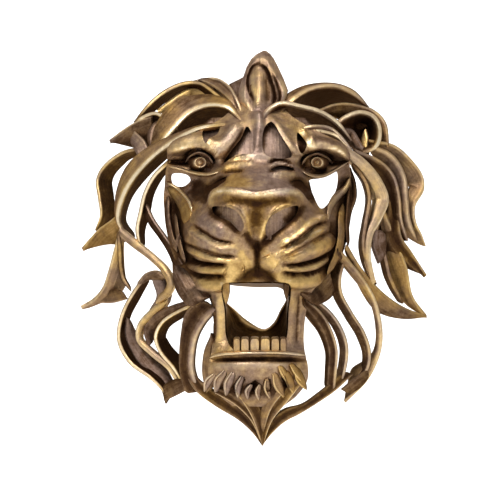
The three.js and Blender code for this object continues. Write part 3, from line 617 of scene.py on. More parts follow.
# Row, then the columns that Item names.
FACE_STATIONS = np.array(
    [
        [104, 108, 92, 0.9, 1, 20],
        [118, 124, 98, 0.9, 1, 34],
        [130, 136, 96, 0.85, 1.1, 54],
        [142, 144, 92, 0.8, 1.2, 76],
        [152, 150, 88, 0.78, 1.3, 87],
        [164, 158, 84, 0.72, 1.4, 90],
        [176, 182, 82, 0.62, 1.8, 92],
        [188, 210, 82, 0.56, 2.3, 93],
        [196, 224, 84, 0.58, 2.6, 94],
        [208, 225, 88, 0.62, 2.6, 94],
        [222, 223, 92, 0.68, 2.6, 93],
        [238, 219, 96, 0.74, 2.6, 90],
        [252, 214, 100, 0.8, 2.4, 86],
        [266, 210, 108, 0.84, 2.2, 79],
        [278, 200, 116, 0.86, 2, 66],
        [288, 188, 122, 0.9, 1.6, 55],
        [302, 176, 124, 0.95, 1.4, 49],
        [320, 168, 126, 0.95, 1.4, 46],
        [338, 166, 128, 0.95, 1.4, 45],
        [350, 172, 132, 0.95, 1.5, 46],
        [364, 178, 134, 0.92, 1.6, 49],
        [380, 174, 130, 0.9, 1.6, 48],
        [394, 162, 122, 0.9, 1.5, 38],
        [404, 150, 114, 0.9, 1.4, 25],
    ]
)


class Item(Enum):
    """The columns of the face's stations after the row."""

    CENTRE = 1
    CHEEK = 2
    SHARE = 3
    SQUARENESS = 4
    HALF_WIDTH = 5


def station(row: np.ndarray, item: Item) -> np.ndarray:
    """Smooth value of one column of the stations, a cubic between each two rows.

    Args:
        row: rows of the points.
        item: the column of the table.

    Returns:
        The value at each row.
    """
    rows, values = FACE_STATIONS[:, 0], FACE_STATIONS[:, item.value]
    last = len(rows) - 2
    i = np.clip(np.searchsorted(rows, row, side="left") - 1, 0, last)
    before, after = np.maximum(i - 1, 0), np.minimum(i + 2, last + 1)
    span = rows[i + 1] - rows[i]
    slope_from = (values[i + 1] - values[before]) / (rows[i + 1] - rows[before]) * span
    slope_to = (values[after] - values[i]) / (rows[after] - rows[i]) * span
    return hermite((row - rows[i]) / span, values[i], values[i + 1], slope_from, slope_to)


# Column, row, reach across, reach down and height of each soft mound or hollow.
SWELLINGS = (
    (201, 147, 26, 9, 12),
    (316, 147, 26, 9, 12),
    (201, 165, 17, 10, -10),
    (316, 165, 17, 10, -10),
    (258, 178, 14, 22, 4),
    (232, 132, 12, 12, 5),
    (284, 132, 12, 12, 5),
)


def face_depth(column: np.ndarray, row: np.ndarray) -> np.ndarray:
    """Depth of the bare face: a bell across each station, with the swellings added.

    Args:
        column: columns of the points.
        row: rows of the points.

    Returns:
        The depth of each, in squares.
    """
    share = np.abs(column - GRID.centre_column) / station(row, Item.HALF_WIDTH)
    middle, cheek = station(row, Item.CENTRE), station(row, Item.CHEEK)
    bell = 1 / (1 + (share / station(row, Item.SHARE)) ** (2 * station(row, Item.SQUARENESS)))
    depth = cheek + (middle - cheek) * bell
    for at_column, at_row, across, down, height in SWELLINGS:
        dx, dy = (column - at_column) / across, (row - at_row) / down
        depth = depth + height * np.exp(-dx * dx - dy * dy)
    return depth


@dataclass(frozen=True)
class Stroke:
    """A ridge or groove carved in the face along a path; its tone is mostly painted shade or highlight."""

    path: Path
    width: float
    height: float
    tone: float = 0
    ochre: float = 0

    def weight(self, column: np.ndarray, row: np.ndarray) -> np.ndarray:
        """Bell over the distance to the path, fading towards its two ends.

        Args:
            column: columns of the points.
            row: rows of the points.

        Returns:
            A weight from 0 to 1 for each.
        """
        count = max(int(path_length(self.path) / 1.5), 4)
        at, _ = smooth_path(self.path, count)
        out = np.zeros(column.shape)
        reach = 3 * self.width
        low, high = at.min(axis=0) - reach, at.max(axis=0) + reach
        near = (column > low[0]) & (column < high[0]) & (row > low[1]) & (row < high[1])
        if near.any():
            gap = np.hypot(column[near][:, None] - at[None, :, 0], row[near][:, None] - at[None, :, 1])
            nearest = gap.argmin(axis=1)
            share = nearest / (count - 1)
            fade = np.minimum(1, 0.25 + 5 * np.minimum(share, 1 - share))
            out[near] = np.exp(-((gap.min(axis=1) / self.width) ** 2)) * fade
        return out


# Strokes' tones: mostly painted shade in grooves and painted highlight on ridges; a few with no height only
# shift the colour.
STROKES = (
    # Brows and the frown between them.
    Stroke(((170, 157), (173, 151), (182, 147), (196, 144), (210, 147), (219, 154)), 6, 9, 0.3, 0.2),
    Stroke(((176, 151), (188, 149), (202, 149), (214, 152)), 1.6, 2, 0.3, 0.2),
    Stroke(((300, 154), (306, 148), (318, 146), (330, 148), (342, 154), (349, 161)), 6, 9, 0.2, 0.1),
    Stroke(((300, 131), (306, 140), (309, 149)), 2.5, 3, 0.35, 0.2),
    Stroke(((308, 150), (314, 148), (325, 148), (336, 151), (346, 158)), 1.8, 3, 0.4, 0.1),
    Stroke(((312, 140), (324, 141), (336, 147)), 3, -2, -0.25),
    Stroke(((168, 163), (178, 164), (190, 163)), 2.2, -6, -0.5),
    Stroke(((186, 163), (191, 156), (200, 152), (208, 155), (214, 163)), 4, -7, -0.6),
    Stroke(((190, 167), (200, 172), (211, 167)), 3, -5, -0.5),
    Stroke(((302, 165), (308, 158), (318, 154), (328, 159), (332, 164)), 4, -6, -0.5),
    Stroke(((305, 167), (316, 173), (327, 168)), 3, -5, -0.5),
    Stroke(((326, 164), (337, 164), (347, 162)), 2, -5, -0.4),
    Stroke(((217, 164), (222, 150), (230, 138), (240, 126)), 6, 4, 0.12, -0.2),
    Stroke(((221, 167), (228, 155), (238, 141), (245, 130)), 1.8, -3, -0.5),
    Stroke(((258, 112), (259, 124), (258, 140), (257, 156)), 4.5, 4, 0.02, -0.5),
    Stroke(((268, 118), (276, 128), (286, 142), (296, 158)), 4, 3, 0.12, 0.1),
    Stroke(((240, 160), (250, 157), (262, 158), (272, 158)), 3, 2, 0.12, -0.2),
    # Wrinkles over the muzzle.
    Stroke(((232, 162), (240, 159.5), (250, 161)), 1.6, 2.5, 0.3, 0.3),
    Stroke(((222, 175), (228, 169), (238, 165.5), (250, 165), (254, 160)), 2.5, 2.5, 0.15, 0.3),
    Stroke(((222, 173), (232, 171.5), (243, 172)), 2, -3, -0.34, 0.5),
    Stroke(((269, 163), (280, 161), (292, 165)), 1.6, -5, -0.6),
    Stroke(((270, 166.5), (281, 164.5), (294, 168)), 1.6, 3, 0.3),
    Stroke(((271, 171.5), (281, 169), (293, 171)), 2.2, -7, -0.75),
    Stroke(((270, 176), (283, 175), (296, 175)), 2.5, 3, 0.12),
    Stroke(((234, 174), (238, 182), (238, 190)), 14, 1, 0.04, 0.75),
    Stroke(((268, 184), (276, 190), (290, 192)), 9, 0, -0.06, -0.6),
    Stroke(((256, 130), (257, 146), (256, 160)), 6, 0, -0.05, -0.5),
    # Nose: rim, leather and wings.
    Stroke(
        (
            (211, 206), (211, 199), (216, 194), (226, 192), (244, 195), (256, 196.5), (268, 195),
            (285, 192.5), (298, 195), (304, 201),
        ),
        2.5, 4.5, 0.42, 0.3,
    ),
    Stroke(((214, 201), (232, 198), (257, 201), (284, 198), (301, 203)), 4, 3, 0.02, 0.4),
    Stroke(((220, 203), (235, 202), (258, 204), (280, 202), (296, 202)), 4.5, -2, -0.3, 0.5),
    Stroke(((258, 202), (257, 214), (256, 228)), 7, 1.5, -0.22, 0.5),
    Stroke(((243, 208), (247, 216), (249, 228), (252, 240)), 2, 2, 0.15, 0.4),
    Stroke(((265, 222), (262, 232), (260, 240)), 2, 2, 0.35, 0.5),
    Stroke(((222, 206), (233, 206), (241, 211), (246, 220)), 1.6, 3, 0.15),
    Stroke(((294, 206), (284, 206), (272, 213), (266, 222)), 1.6, 3, 0.2, 0.2),
    Stroke(((210, 208), (213, 215), (224, 221), (234, 229), (241, 236)), 2.6, -4, -0.55),
    Stroke(((302, 208), (296, 216), (284, 226), (272, 236), (266, 243)), 3.6, -6, -0.6),
    # Philtrum and the shade under the nose.
    Stroke(((253, 210), (254, 224), (255, 238)), 8, -0.5, -0.16, 0.2),
    Stroke(((244, 233), (250, 241), (256, 251)), 3.6, -3, -0.42),
    Stroke(((270, 236), (264, 244), (258, 252)), 4, -3, -0.42),
    Stroke(((257, 240), (257, 254), (257, 266), (257, 276)), 2.4, -4, -0.5),
    Stroke(((240, 280), (248, 276), (257, 273), (267, 276), (276, 281)), 6, -4, -0.5, 0.1),
    # Left whisker pad: bulges, ridges and the deep grooves between them.
    Stroke(((228, 232), (214, 226), (199, 219)), 10, 7, 0.0, -0.35),
    Stroke(((234, 244), (218, 240), (206, 233), (195, 225)), 1.5, -4, -0.5),
    Stroke(((236, 247.5), (222, 245), (207, 238), (191, 228)), 2.4, 4, 0.34, 0.3),
    Stroke(((230, 254), (214, 249), (200, 242), (187, 236)), 9, 8, 0.06, 0.1),
    Stroke(((236, 257), (218, 254), (202, 249), (185, 243)), 1.5, -4, -0.45),
    Stroke(((236, 260.5), (218, 259), (201, 255), (184, 249)), 2.4, 3, 0.25, 0.35),
    Stroke(((226, 264.5), (212, 264.5), (199, 263), (186, 258)), 1.8, -7, -0.8),
    Stroke(((232, 269), (216, 269.5), (200, 268.5), (184, 264)), 3, 5, 0.2, 0.5),
    Stroke(((226, 274.5), (214, 276), (202, 275.5), (190, 271)), 2, -8, -0.85),
    Stroke(((238, 276), (224, 282), (210, 284), (197, 280)), 5.5, 9, 0.18, 0.6),
    Stroke(((226, 268), (236, 270), (246, 268)), 8, 6, 0.08, 0.6),
    Stroke(((240, 250), (244, 258), (247, 266)), 3, 2, 0.1, 0.5),
    # Right whisker pad.
    Stroke(((286, 238), (300, 230), (316, 222)), 8, 5, -0.05, -0.1),
    Stroke(((276, 247), (294, 235), (313, 220), (327, 217)), 2.2, 5, 0.34, 0.4),
    Stroke(((280, 249.5), (296, 239), (312, 227), (325, 222)), 1.4, -4, -0.5),
    Stroke(((276, 255), (292, 245), (306, 237), (327, 226)), 2.4, 5, 0.36, 0.45),
    Stroke(((284, 256), (300, 247), (316, 238), (331, 231)), 1.4, -3, -0.35),
    Stroke(((280, 259), (298, 251), (316, 246), (334, 238)), 9, 9, 0.12, 0.3),
    Stroke(((283, 265), (296, 264.5), (312, 261), (332, 251)), 1.8, -7, -0.75),
    Stroke(((282, 268.5), (298, 268.5), (314, 265.5), (333, 256)), 2.6, 4, 0.26, 0.4),
    Stroke(((282, 271.5), (297, 273.5), (312, 272), (331, 262)), 1.9, -8, -0.8),
    Stroke(((268, 270), (280, 277), (298, 281), (312, 279), (326, 270)), 5.5, 8, 0.2, 0.6),
    Stroke(((266, 254), (270, 261), (276, 267)), 6, 6, 0.12, 0.4),
    # Jaw columns.
    Stroke(((208, 294), (210, 310), (213, 326)), 3, -2, -0.32),
    Stroke(((219, 292), (221, 308), (221, 326), (219, 346)), 4.5, 5, 0.22, 0.45),
    Stroke(((214, 300), (216, 320), (215, 340)), 1.3, -2, -0.22),
    Stroke(((292, 290), (291, 308), (290, 326), (288, 346)), 5.5, 4, 0.0, 0.1),
    Stroke(((299, 294), (297, 314), (296, 340)), 1.4, -2, -0.25),
    Stroke(((287, 290), (285, 310), (282, 338)), 1.6, 2, 0.22, 0.2),
    # Cheeks: dark folds beside the pads.
    Stroke(((226, 178), (215, 184), (208, 191), (204, 201)), 3, -5, -0.5),
    Stroke(((292, 182), (300, 184), (307, 192), (312, 200)), 4, -6, -0.55),
    Stroke(((190, 184), (198, 190), (205, 197)), 9, -3, -0.12, -0.7),
    Stroke(((172, 196), (172, 212), (176, 232), (182, 252), (192, 272)), 8, -5, -0.42),
    Stroke(((196, 292), (188, 284), (180, 268)), 6, -3, -0.3),
    Stroke(((350, 186), (347, 210), (344, 234), (336, 258), (324, 280)), 8, -5, -0.36),
    Stroke(((330, 224), (334, 240), (330, 262), (318, 280)), 4, -4, -0.3),
    Stroke(((208, 296), (210, 316), (212, 340)), 4, -2, -0.3, 0.3),
    # Chin: the lip's dark groove and the shade among the tufts.
    Stroke(((214, 358), (236, 357), (258, 356.5), (285, 357), (304, 358)), 1.8, -5, -0.75),
    Stroke(((212, 364), (236, 362), (262, 362), (290, 364)), 4, 1, 0.1, -0.3),
    Stroke(((206, 386), (222, 388), (240, 388), (262, 388), (284, 388), (300, 384)), 6, -3, -0.28),
    Stroke(((234, 391), (238, 383), (243, 375)), 3.2, -7, -0.5),
    Stroke(((250, 392), (253, 385), (258, 380)), 3.2, -5, -0.4),
    Stroke(((267, 390), (268, 384), (267, 377)), 2.6, -6, -0.4),
    Stroke(((288, 388), (286, 380), (283, 372)), 2.6, -6, -0.45),
)


def relief(
    strokes: Sequence[Stroke], column: np.ndarray, row: np.ndarray
) -> tuple[np.ndarray, np.ndarray, np.ndarray]:
    """Sum of strokes at columns and rows.

    Args:
        strokes: the ridges and grooves.
        column: columns of the points.
        row: rows of the points.

    Returns:
        A height in squares, a tone and an ochre for each point.
    """
    height, tone, ochre = (np.zeros(column.shape) for _ in range(3))
    for stroke in strokes:
        weight = stroke.weight(column, row)
        height += stroke.height * weight
        tone += stroke.tone * weight
        ochre += stroke.ochre * weight
    return height, tone, ochre


def face_relief(column: np.ndarray, row: np.ndarray) -> tuple[np.ndarray, np.ndarray, np.ndarray]:
    """Height, tone and ochre that the strokes give the face."""
    return relief(STROKES, column, row)


@dataclass(frozen=True)
class Roll:
    """A rounded ridge laid on the face along a path, such as a petal, a lid or a tuft."""

    path: Path
    half: Numbers
    rise: Numbers
    tone: float = 0.6
    ochre: float = 0.5
    # How far painted shade darkens the roll's flanks and its sole.
    groove: float = 0.55
    lean: float = 0
    sink: float = 4
    edge_sink: float = 1.5

    def skin(self, number: int) -> Skin:
        """The ridge as a closed skin.

        Above the sheet the section is half an ellipse that leans to one side, and below it a
        flat sole sunk into the sheet. Both shrink towards the two ends.

        Args:
            number: the roll's number, which shifts its grain.

        Returns:
            The closed skin.
        """
        length = path_length(self.path)
        count = int(np.clip(length / 2, 12, 60))
        at, heading = smooth_path(self.path, count)
        share = np.linspace(0, 1, count)
        taper = np.sqrt(np.clip(np.minimum(share, 1 - share) * 9, 0.02, 1))
        half = spread(self.half, share) * taper
        rise = spread(self.rise, share) * taper
        angle = np.linspace(0, np.pi, 11)
        over = np.sin(angle) ** 0.8
        top = np.cos(angle + self.lean * np.sin(angle) ** 2 * 0.6)
        offset = np.concatenate([top, [-0.7, 0, 0.7]])
        height = np.concatenate([over, [-1, -1, -1]])
        column = at[:, :1] - heading[:, 1:] * half[:, None] * offset
        row = at[:, 1:] + heading[:, :1] * half[:, None] * offset
        raised = np.where(height > 0, rise[:, None] * height, -self.sink)
        raised[:, [0, 10]] = -self.edge_sink
        carved = face_relief(at[:, 0], at[:, 1])[0][:, None]
        rings = GRID.place(column, row, face_depth(column, row) + carved + raised)
        # Painted shade: the tone falls toward the flanks and on the sole.
        shade = np.concatenate([(1 - over) ** 1.5, [1, 1, 1]])
        tone = np.broadcast_to(self.tone - self.groove * shade, column.shape)
        along = (share * length * GRID.unit)[:, None]
        grain = grained(half[:, None] * offset * GRID.unit, along, 40 + number * 0.37)
        return ring_skin(rings, tone, np.full(column.shape, self.ochre), grain)


# Lids, lip, and the petals and strands of the cheeks.
FEATURES = (
    Roll(
        ((186, 164), (191, 157.5), (199, 154), (208, 157), (214, 165)),
        (1.5,), (8, 12, 13, 12, 8), 0.5, 0.4, 0.3,
    ),
    Roll(
        ((169, 167), (182, 170.5), (195, 174), (208, 175.5), (219, 173)),
        (1.6, 1.8, 2, 1.8, 1.4), (6, 9, 10, 9, 5), 0.76, 0.5, 0.35,
    ),
    Roll(
        ((301, 166), (306, 159), (316, 155), (326, 159), (332, 165)),
        (1.5,), (7, 11, 13, 11, 7), 0.45, 0.4, 0.3,
    ),
    Roll(
        ((301, 172), (309, 176), (321, 177), (334, 171), (347, 163)),
        (1.4, 1.8, 2, 1.8, 1.4), (5, 9, 10, 9, 6), 0.62, 0.4, 0.35,
    ),
    Roll(
        ((210, 356), (220, 352.5), (237, 351), (258, 350.5), (288, 351), (305, 353.5)),
        (2.4,), (8, 9, 10, 10, 10, 8), 0.78, 0.3, 0.35,
    ),
    Roll(
        ((167, 183), (176, 188), (184, 195), (190, 203), (193, 213)),
        (1.6, 1.8, 2, 1.8, 1.4), (9, 11, 12, 11, 8), 0.85, 0.7, 0.3,
    ),
    Roll(
        ((168, 188), (177, 194), (184, 203), (187, 213), (185, 224)),
        (3, 6, 7, 6, 3), (4, 6, 8, 8, 5), 0.5, 0.9, 0.4,
    ),
    Roll(
        ((169, 196), (169, 214), (172, 234), (178, 252)),
        (2.6, 2.4, 2.6, 2.4), (5, 7, 7, 5), 0.36, 0.3, 0.3,
    ),
    Roll(((176, 214), (178, 230), (181, 246), (186, 262)), (2, 2.2, 2.4, 2), (4, 6, 6, 4), 0.42, 0.5, 0.3),
    Roll(
        ((349, 178), (345, 188), (335, 198), (329, 208), (327, 220)),
        (1.8, 3.4, 4, 3, 1.6), (9, 11, 11, 9, 6), 0.66, 0.5, 0.5,
    ),
    Roll(
        ((342, 204), (340, 218), (340, 236), (336, 254), (326, 274)),
        (3, 3.6, 3.8, 3.6, 2.6), (5, 7, 7, 7, 4), 0.5, 0.9, 0.4,
    ),
    Roll(
        ((349, 186), (347, 206), (346, 228), (347, 246)),
        (2.4, 2.4, 2.4, 2.2), (6, 7, 7, 5), 0.2, 0.3, 0.15,
    ),
)

# The chin's tufts: root, bulge and tip of each leaf, and its half width.
TUFT_LEAVES = (
    ((279, 363), (284, 371), (288, 382), 3.2),
    ((290, 361), (296, 369), (301, 380), 3),
    ((216, 372), (209, 380), (205, 390), 3.4),
    ((226, 369), (219, 379), (216, 392), 4.2),
    ((234, 370), (229, 381), (226, 395), 4.2),
    ((243, 374), (239, 384), (238, 396), 3.6),
    ((252, 382), (248, 389), (248, 397), 2.6),
    ((260, 382), (258, 389), (259, 398), 2.6),
    ((267, 376), (267, 386), (270, 397), 3.2),
    ((274, 370), (278, 383), (284, 396), 4.2),
    ((285, 368), (290, 380), (293, 392), 4),
    ((295, 365), (300, 377), (306, 388), 4.2),
)


def tuft(
    root: tuple[float, float], middle: tuple[float, float], tip: tuple[float, float], half: float
) -> list[Roll]:
    """A pointed leaf of hair: a rounded body and a ridge on its left with a painted highlight, meeting at
    its tip.

    Args:
        root: column and row where it starts.
        middle: column and row at its widest.
        tip: column and row of its point.
        half: half its width.

    Returns:
        The body and the edge.
    """
    path = np.array([root, middle, tip], float)
    aside = np.array([half, -half * (tip[0] - root[0]) / (tip[1] - root[1])]) * 0.8
    gold = 0.15 + 0.85 * float(ease(np.array((root[0] - 240) / 50)))
    body = Roll(tuple(map(tuple, path)), (half * 0.7, half, 1.2), (1.5, 4.5, 5), 0.5, gold, 0.7)
    bent = path - aside * np.array([[0.5], [1], [0.0]])
    # The edge's higher tone is a painted highlight on the leaf's left side.
    edge = Roll(tuple(map(tuple, bent)), (0.9, 1.6, 0.9), (2.5, 5.8, 5.5), 0.74, gold, 0.35)
    return [body, edge]


WINDOWS = (
    (
        (223, 284), (238, 281.5), (258, 281), (278, 281.5), (289, 284), (288, 310), (286, 336),
        (280, 348), (258, 349), (234, 348), (227, 337), (225, 310),
    ),
    ((213, 208), (222, 207.5), (232, 209.5), (240, 216), (244, 227), (241, 232), (230, 222), (215, 215)),
    ((297, 207), (289, 208), (279, 212), (270, 218), (265, 228), (267, 237), (279, 230), (294, 217)),
    ((203, 133), (209, 129), (220, 126), (218, 135), (210, 140), (206, 145)),
    ((297, 134), (302, 139), (306, 147), (301, 155), (297, 147)),
    ((241, 140), (247, 128), (252, 136), (252, 154), (238, 156), (224, 164), (230, 154)),
    ((264, 130), (271, 123.5), (281, 138), (291, 158), (265, 156)),
    ((173, 175), (188, 176), (191, 181), (184, 187), (174, 185)),
    ((308, 182), (320, 179), (335, 172), (336, 187), (328, 203), (320, 209), (312, 195)),
    ((227, 178), (216, 183), (208, 191), (204, 201), (207, 199), (214, 189)),
    ((290, 183), (299, 181), (305, 187), (311, 199), (301, 190)),
    ((270, 171.5), (280, 167), (294, 170.5), (283, 172)),
)


@dataclass
class FaceSheet:
    """The domed, hollow sheet of the face, pierced by its windows."""

    across: int = 158
    down: int = 262
    wall: float = FACE_WALL
    windows: Sequence[Path] = WINDOWS
    mouth_back: float = 90
    window_back: float = 40
    window_front: float = 255

    def sheet(self) -> tuple[np.ndarray, np.ndarray]:
        """The closed sheet.

        The front is the face's depth moved out square to itself by the relief, the back is
        the bare face moved in by the wall, and a band joins the two all round.

        Returns:
            The points and the quads.
        """
        top, bottom = FACE_STATIONS[0, 0], FACE_STATIONS[-1, 0]
        down, across = np.linspace(0, 1, self.down + 1), np.linspace(-1, 1, self.across + 1)
        v, u = np.meshgrid(down, across, indexing="ij")
        row = top + (bottom - top) * v
        column = GRID.centre_column + u * station(row, Item.HALF_WIDTH)
        bare = GRID.place(column, row, face_depth(column, row))
        normal = unit_vectors(np.cross(np.gradient(bare, axis=1), np.gradient(bare, axis=0)))
        normal = np.where(normal[..., 1:2] > 0, -normal, normal)
        carved = face_relief(column, row)[0] * GRID.unit
        front = bare + normal * carved[..., None]
        back = bare - normal * (self.wall - np.minimum(carved, 0) * 0.7)[..., None]
        number = np.arange(row.size).reshape(row.shape)
        corners = [number[:-1, :-1], number[:-1, 1:], number[1:, 1:], number[1:, :-1]]
        quads = np.stack(corners, axis=-1).reshape(-1, 4)
        edge = np.concatenate([number[0, :-1], number[:-1, -1], number[-1, :0:-1], number[:0:-1, 0]])
        beside = np.roll(edge, -1)
        behind = row.size
        band = np.stack([beside, edge, edge + behind, beside + behind], axis=1)
        quads = np.concatenate([quads, quads[:, ::-1] + behind, band])
        return np.concatenate([front.reshape(-1, 3), back.reshape(-1, 3)]), quads

    def pierced(self) -> tuple[np.ndarray, np.ndarray]:
        """Points and triangles of the sheet once its windows are cut."""
        points, quads = self.sheet()
        blank = np.zeros(len(points))
        target = plain_object("sheet", Skin(points, quads, NO_TRIANGLES, blank, blank, blank).outward())
        cutters = bpy.data.collections.new("cutters")
        for i, outline in enumerate(self.windows):
            ring, _ = smooth_path(outline, 64, closed=True)
            ends = (self.mouth_back if i == 0 else self.window_back, self.window_front)
            rings = np.stack([GRID.place(ring[:, 0], ring[:, 1], end) for end in ends])
            cutter = plain_object("cutter", bare_rings(rings))
            bpy.context.scene.collection.objects.unlink(cutter)
            cutters.objects.link(cutter)
        cut = target.modifiers.new("windows", "BOOLEAN")
        cut.operation, cut.operand_type, cut.solver = "DIFFERENCE", "COLLECTION", "MANIFOLD"
        cut.collection = cutters
        points, triangles = evaluated_triangles(target)
        LOG.info("face sheet: %d triangles after %d windows", len(triangles), len(self.windows))
        for cutter in list(cutters.objects):
            bpy.data.objects.remove(cutter)
        bpy.data.collections.remove(cutters)
        bpy.data.objects.remove(target)
        return points, triangles

    def skin(self) -> Skin:
        """The pierced sheet with its tones, read from where each point lies on the face."""
        points, triangles = self.pierced()
        column, row, depth = GRID.read(points)
        height, tone, ochre = face_relief(column, row)
        sunk = face_depth(column, row) + np.minimum(height, 0) - depth
        # Painted shade on the face's outer sides, where they turn away from the light.
        side_shade = np.clip((np.abs(column - GRID.centre_column) - 60) / 30, 0, 1)
        golden = np.exp(-(((row - 265) / 40) ** 2) - ((column - 255) / 50) ** 2)
        grey = np.exp(-(((row - 182) / 20) ** 2) - ((column - 262) / 30) ** 2)
        level = 0.5 - 0.12 * side_shade + 0.08 * golden + tone
        # Painted shade: points sunk below the carved surface, on the window walls and the back, fall to the
        # painted shade tone.
        level = level + (PAINTED_SHADE_TONE - level) * ease(sunk / 3.2)
        hue = 0.45 + 0.3 * golden - 0.35 * grey + ochre
        grain = grained(points[:, 0] * 0.3, points[:, 2] * 5, 90.0)
        return Skin(points, NO_QUADS, triangles, level, hue, grain)


@dataclass(frozen=True)
class ShadedWallSheet:
    """A smaller sheet behind the face closing the frown, nostrils and cheek slits: a stand-in for shaded
    wall.
    """

    stations: Path = ((119, 46), (130, 62), (150, 62), (165, 55), (180, 50), (205, 56), (222, 54), (240, 46))
    shades: Sequence[Stroke] = (
        Stroke(((246, 128), (238, 143), (222, 166)), 4, 0, 0.45),
        Stroke(((268, 124), (263, 136), (263, 152)), 3, 0, 0.3),
        Stroke(((212, 206), (214, 213), (222, 218)), 5, 0, 0.5),
        Stroke(((299, 206), (294, 213), (284, 224)), 5, 0, 0.45),
        Stroke(((228, 176), (214, 184), (205, 202)), 7, 0, 0.5),
        Stroke(((290, 182), (304, 187), (313, 202)), 7, 0, 0.5),
        Stroke(((296, 132), (300, 142), (300, 156)), 6, 0, 0.4),
    )
    across: int = 60
    down: int = 70
    under: float = 11
    edge_under: float = 4
    wall: float = 5

    def skin(self) -> Skin:
        """Closed sheet whose front lies under the bare face and curves up to it at the border."""
        rows, halves = np.array(self.stations).T
        down, across = np.linspace(0, 1, self.down), np.linspace(-1, 1, self.across)
        v, u = np.meshgrid(down, across, indexing="ij")
        row = rows[0] + (rows[-1] - rows[0]) * v
        column = GRID.centre_column + u * np.interp(row, rows, halves)
        border = np.maximum(np.abs(u), np.abs(2 * v - 1)) ** 8
        under = self.under + (self.edge_under - self.under) * border
        front = GRID.place(column, row, face_depth(column, row) - under)
        back = GRID.place(column, row, face_depth(column, row) - under - self.wall)
        rings = np.concatenate([front, back[:, ::-1]], axis=1)
        # Painted shade under the windows' edges and toward the border, where the sheet meets the face; its
        # back takes the painted shade tone.
        dark = sum(shade.tone * shade.weight(column, row) for shade in self.shades)
        tone = np.concatenate([0.46 - 0.2 * border - dark, np.full(border.shape, PAINTED_SHADE_TONE)], axis=1)
        return ring_skin(rings, tone, np.full(tone.shape, 0.05), rings)


@dataclass(frozen=True)
class Eye:
    """An eyeball with a raised iris ring and pupil, set under the brow."""

    column: float
    row: float = 163.5
    across: float = 12
    down: float = 8.2
    stand: float = 9
    iris_radius: float = 4.9

    def skin(self) -> Skin:
        """The ball as rings round its axis.

        Height is a dome over the share of the radius, with a ring ridge at the iris and a
        boss at the pupil added.
        """
        share = np.concatenate([np.linspace(0.02, 1, 30), [1.0]])[:, None]
        angle = turn(48)[None, :]
        radius = share * self.down
        dome = np.sqrt(np.clip(1 - (share * 0.94) ** 2, 0, 1)) * self.stand
        iris = 1.5 * np.exp(-(((radius - self.iris_radius) / 0.9) ** 2))
        iris = iris - 0.9 * np.exp(-(((radius - 3.4) / 0.9) ** 2))
        pupil = 2.2 * np.exp(-((radius / 1.8) ** 4)) - 1.2 * np.exp(-((radius / 0.8) ** 2))
        stretch = 1 + (self.across / self.down - 1) * share**3
        column = self.column + radius * stretch * np.cos(angle)
        row = self.row + radius * np.sin(angle)
        level = face_depth(np.array([self.column]), np.array([self.row]))[0] - 1
        depth = level + np.broadcast_to(dome + iris + pupil, column.shape)
        depth[-1] = level - 8
        # Painted highlight with rubbed gold on the iris ring and pupil; painted shade darkens the ball
        # toward its edge under the lids.
        bright = 0.42 * np.exp(-(((radius - self.iris_radius) / 1.1) ** 2))
        bright = bright + 0.45 * np.exp(-(((radius - 1.6) / 0.9) ** 2))
        tone = np.broadcast_to(0.4 - 0.6 * np.clip(share - 0.6, 0, 1) * 2 + bright, column.shape)
        grain = grained((column - GRID.centre_column) * GRAIN_STEP, row * GRAIN_STEP, 70.0)
        return ring_skin(GRID.place(column, row, depth), tone, np.full(column.shape, 0.4), grain)


@dataclass(frozen=True)
class Tooth:
    """A tooth: a rounded peg that stands out of the jaw and is drawn in at its end."""

    column: float
    row: float
    across: float
    down: float
    low: float
    high: float
    point: float = 0
    tone: float = 0.7
    ochre: float = 0.55

    def skin(self) -> Skin:
        """Rings up the peg: a soft square that narrows by a quarter circle near its end.

        The point draws the lower half of each ring down to a tip, for a fang.
        """
        share = np.linspace(0, 1, 12)[:, None]
        angle = turn(28)[None, :]
        scale = 0.76 + 0.24 * np.sqrt(np.clip(1 - np.clip((share - 0.7) / 0.3, 0, 1) ** 2, 0, 1))
        x = self.across * scale * squared(np.cos(angle), 0.5)
        y = self.down * scale * squared(np.sin(angle), 0.5)
        x = x * (1 - self.point * np.clip(y / self.down, 0, 1) ** 1.2)
        depth = np.broadcast_to(self.low + (self.high - self.low) * share, x.shape)
        # Painted shade: the tone falls toward the peg's root in the jaw.
        tone = np.broadcast_to(self.tone - 0.6 * (1 - share), x.shape)
        grain = grained(x * GRAIN_STEP, y * GRAIN_STEP, self.column)
        rings = GRID.place(self.column + x, self.row + y, depth)
        return ring_skin(rings, tone, np.full(x.shape, self.ochre), grain)


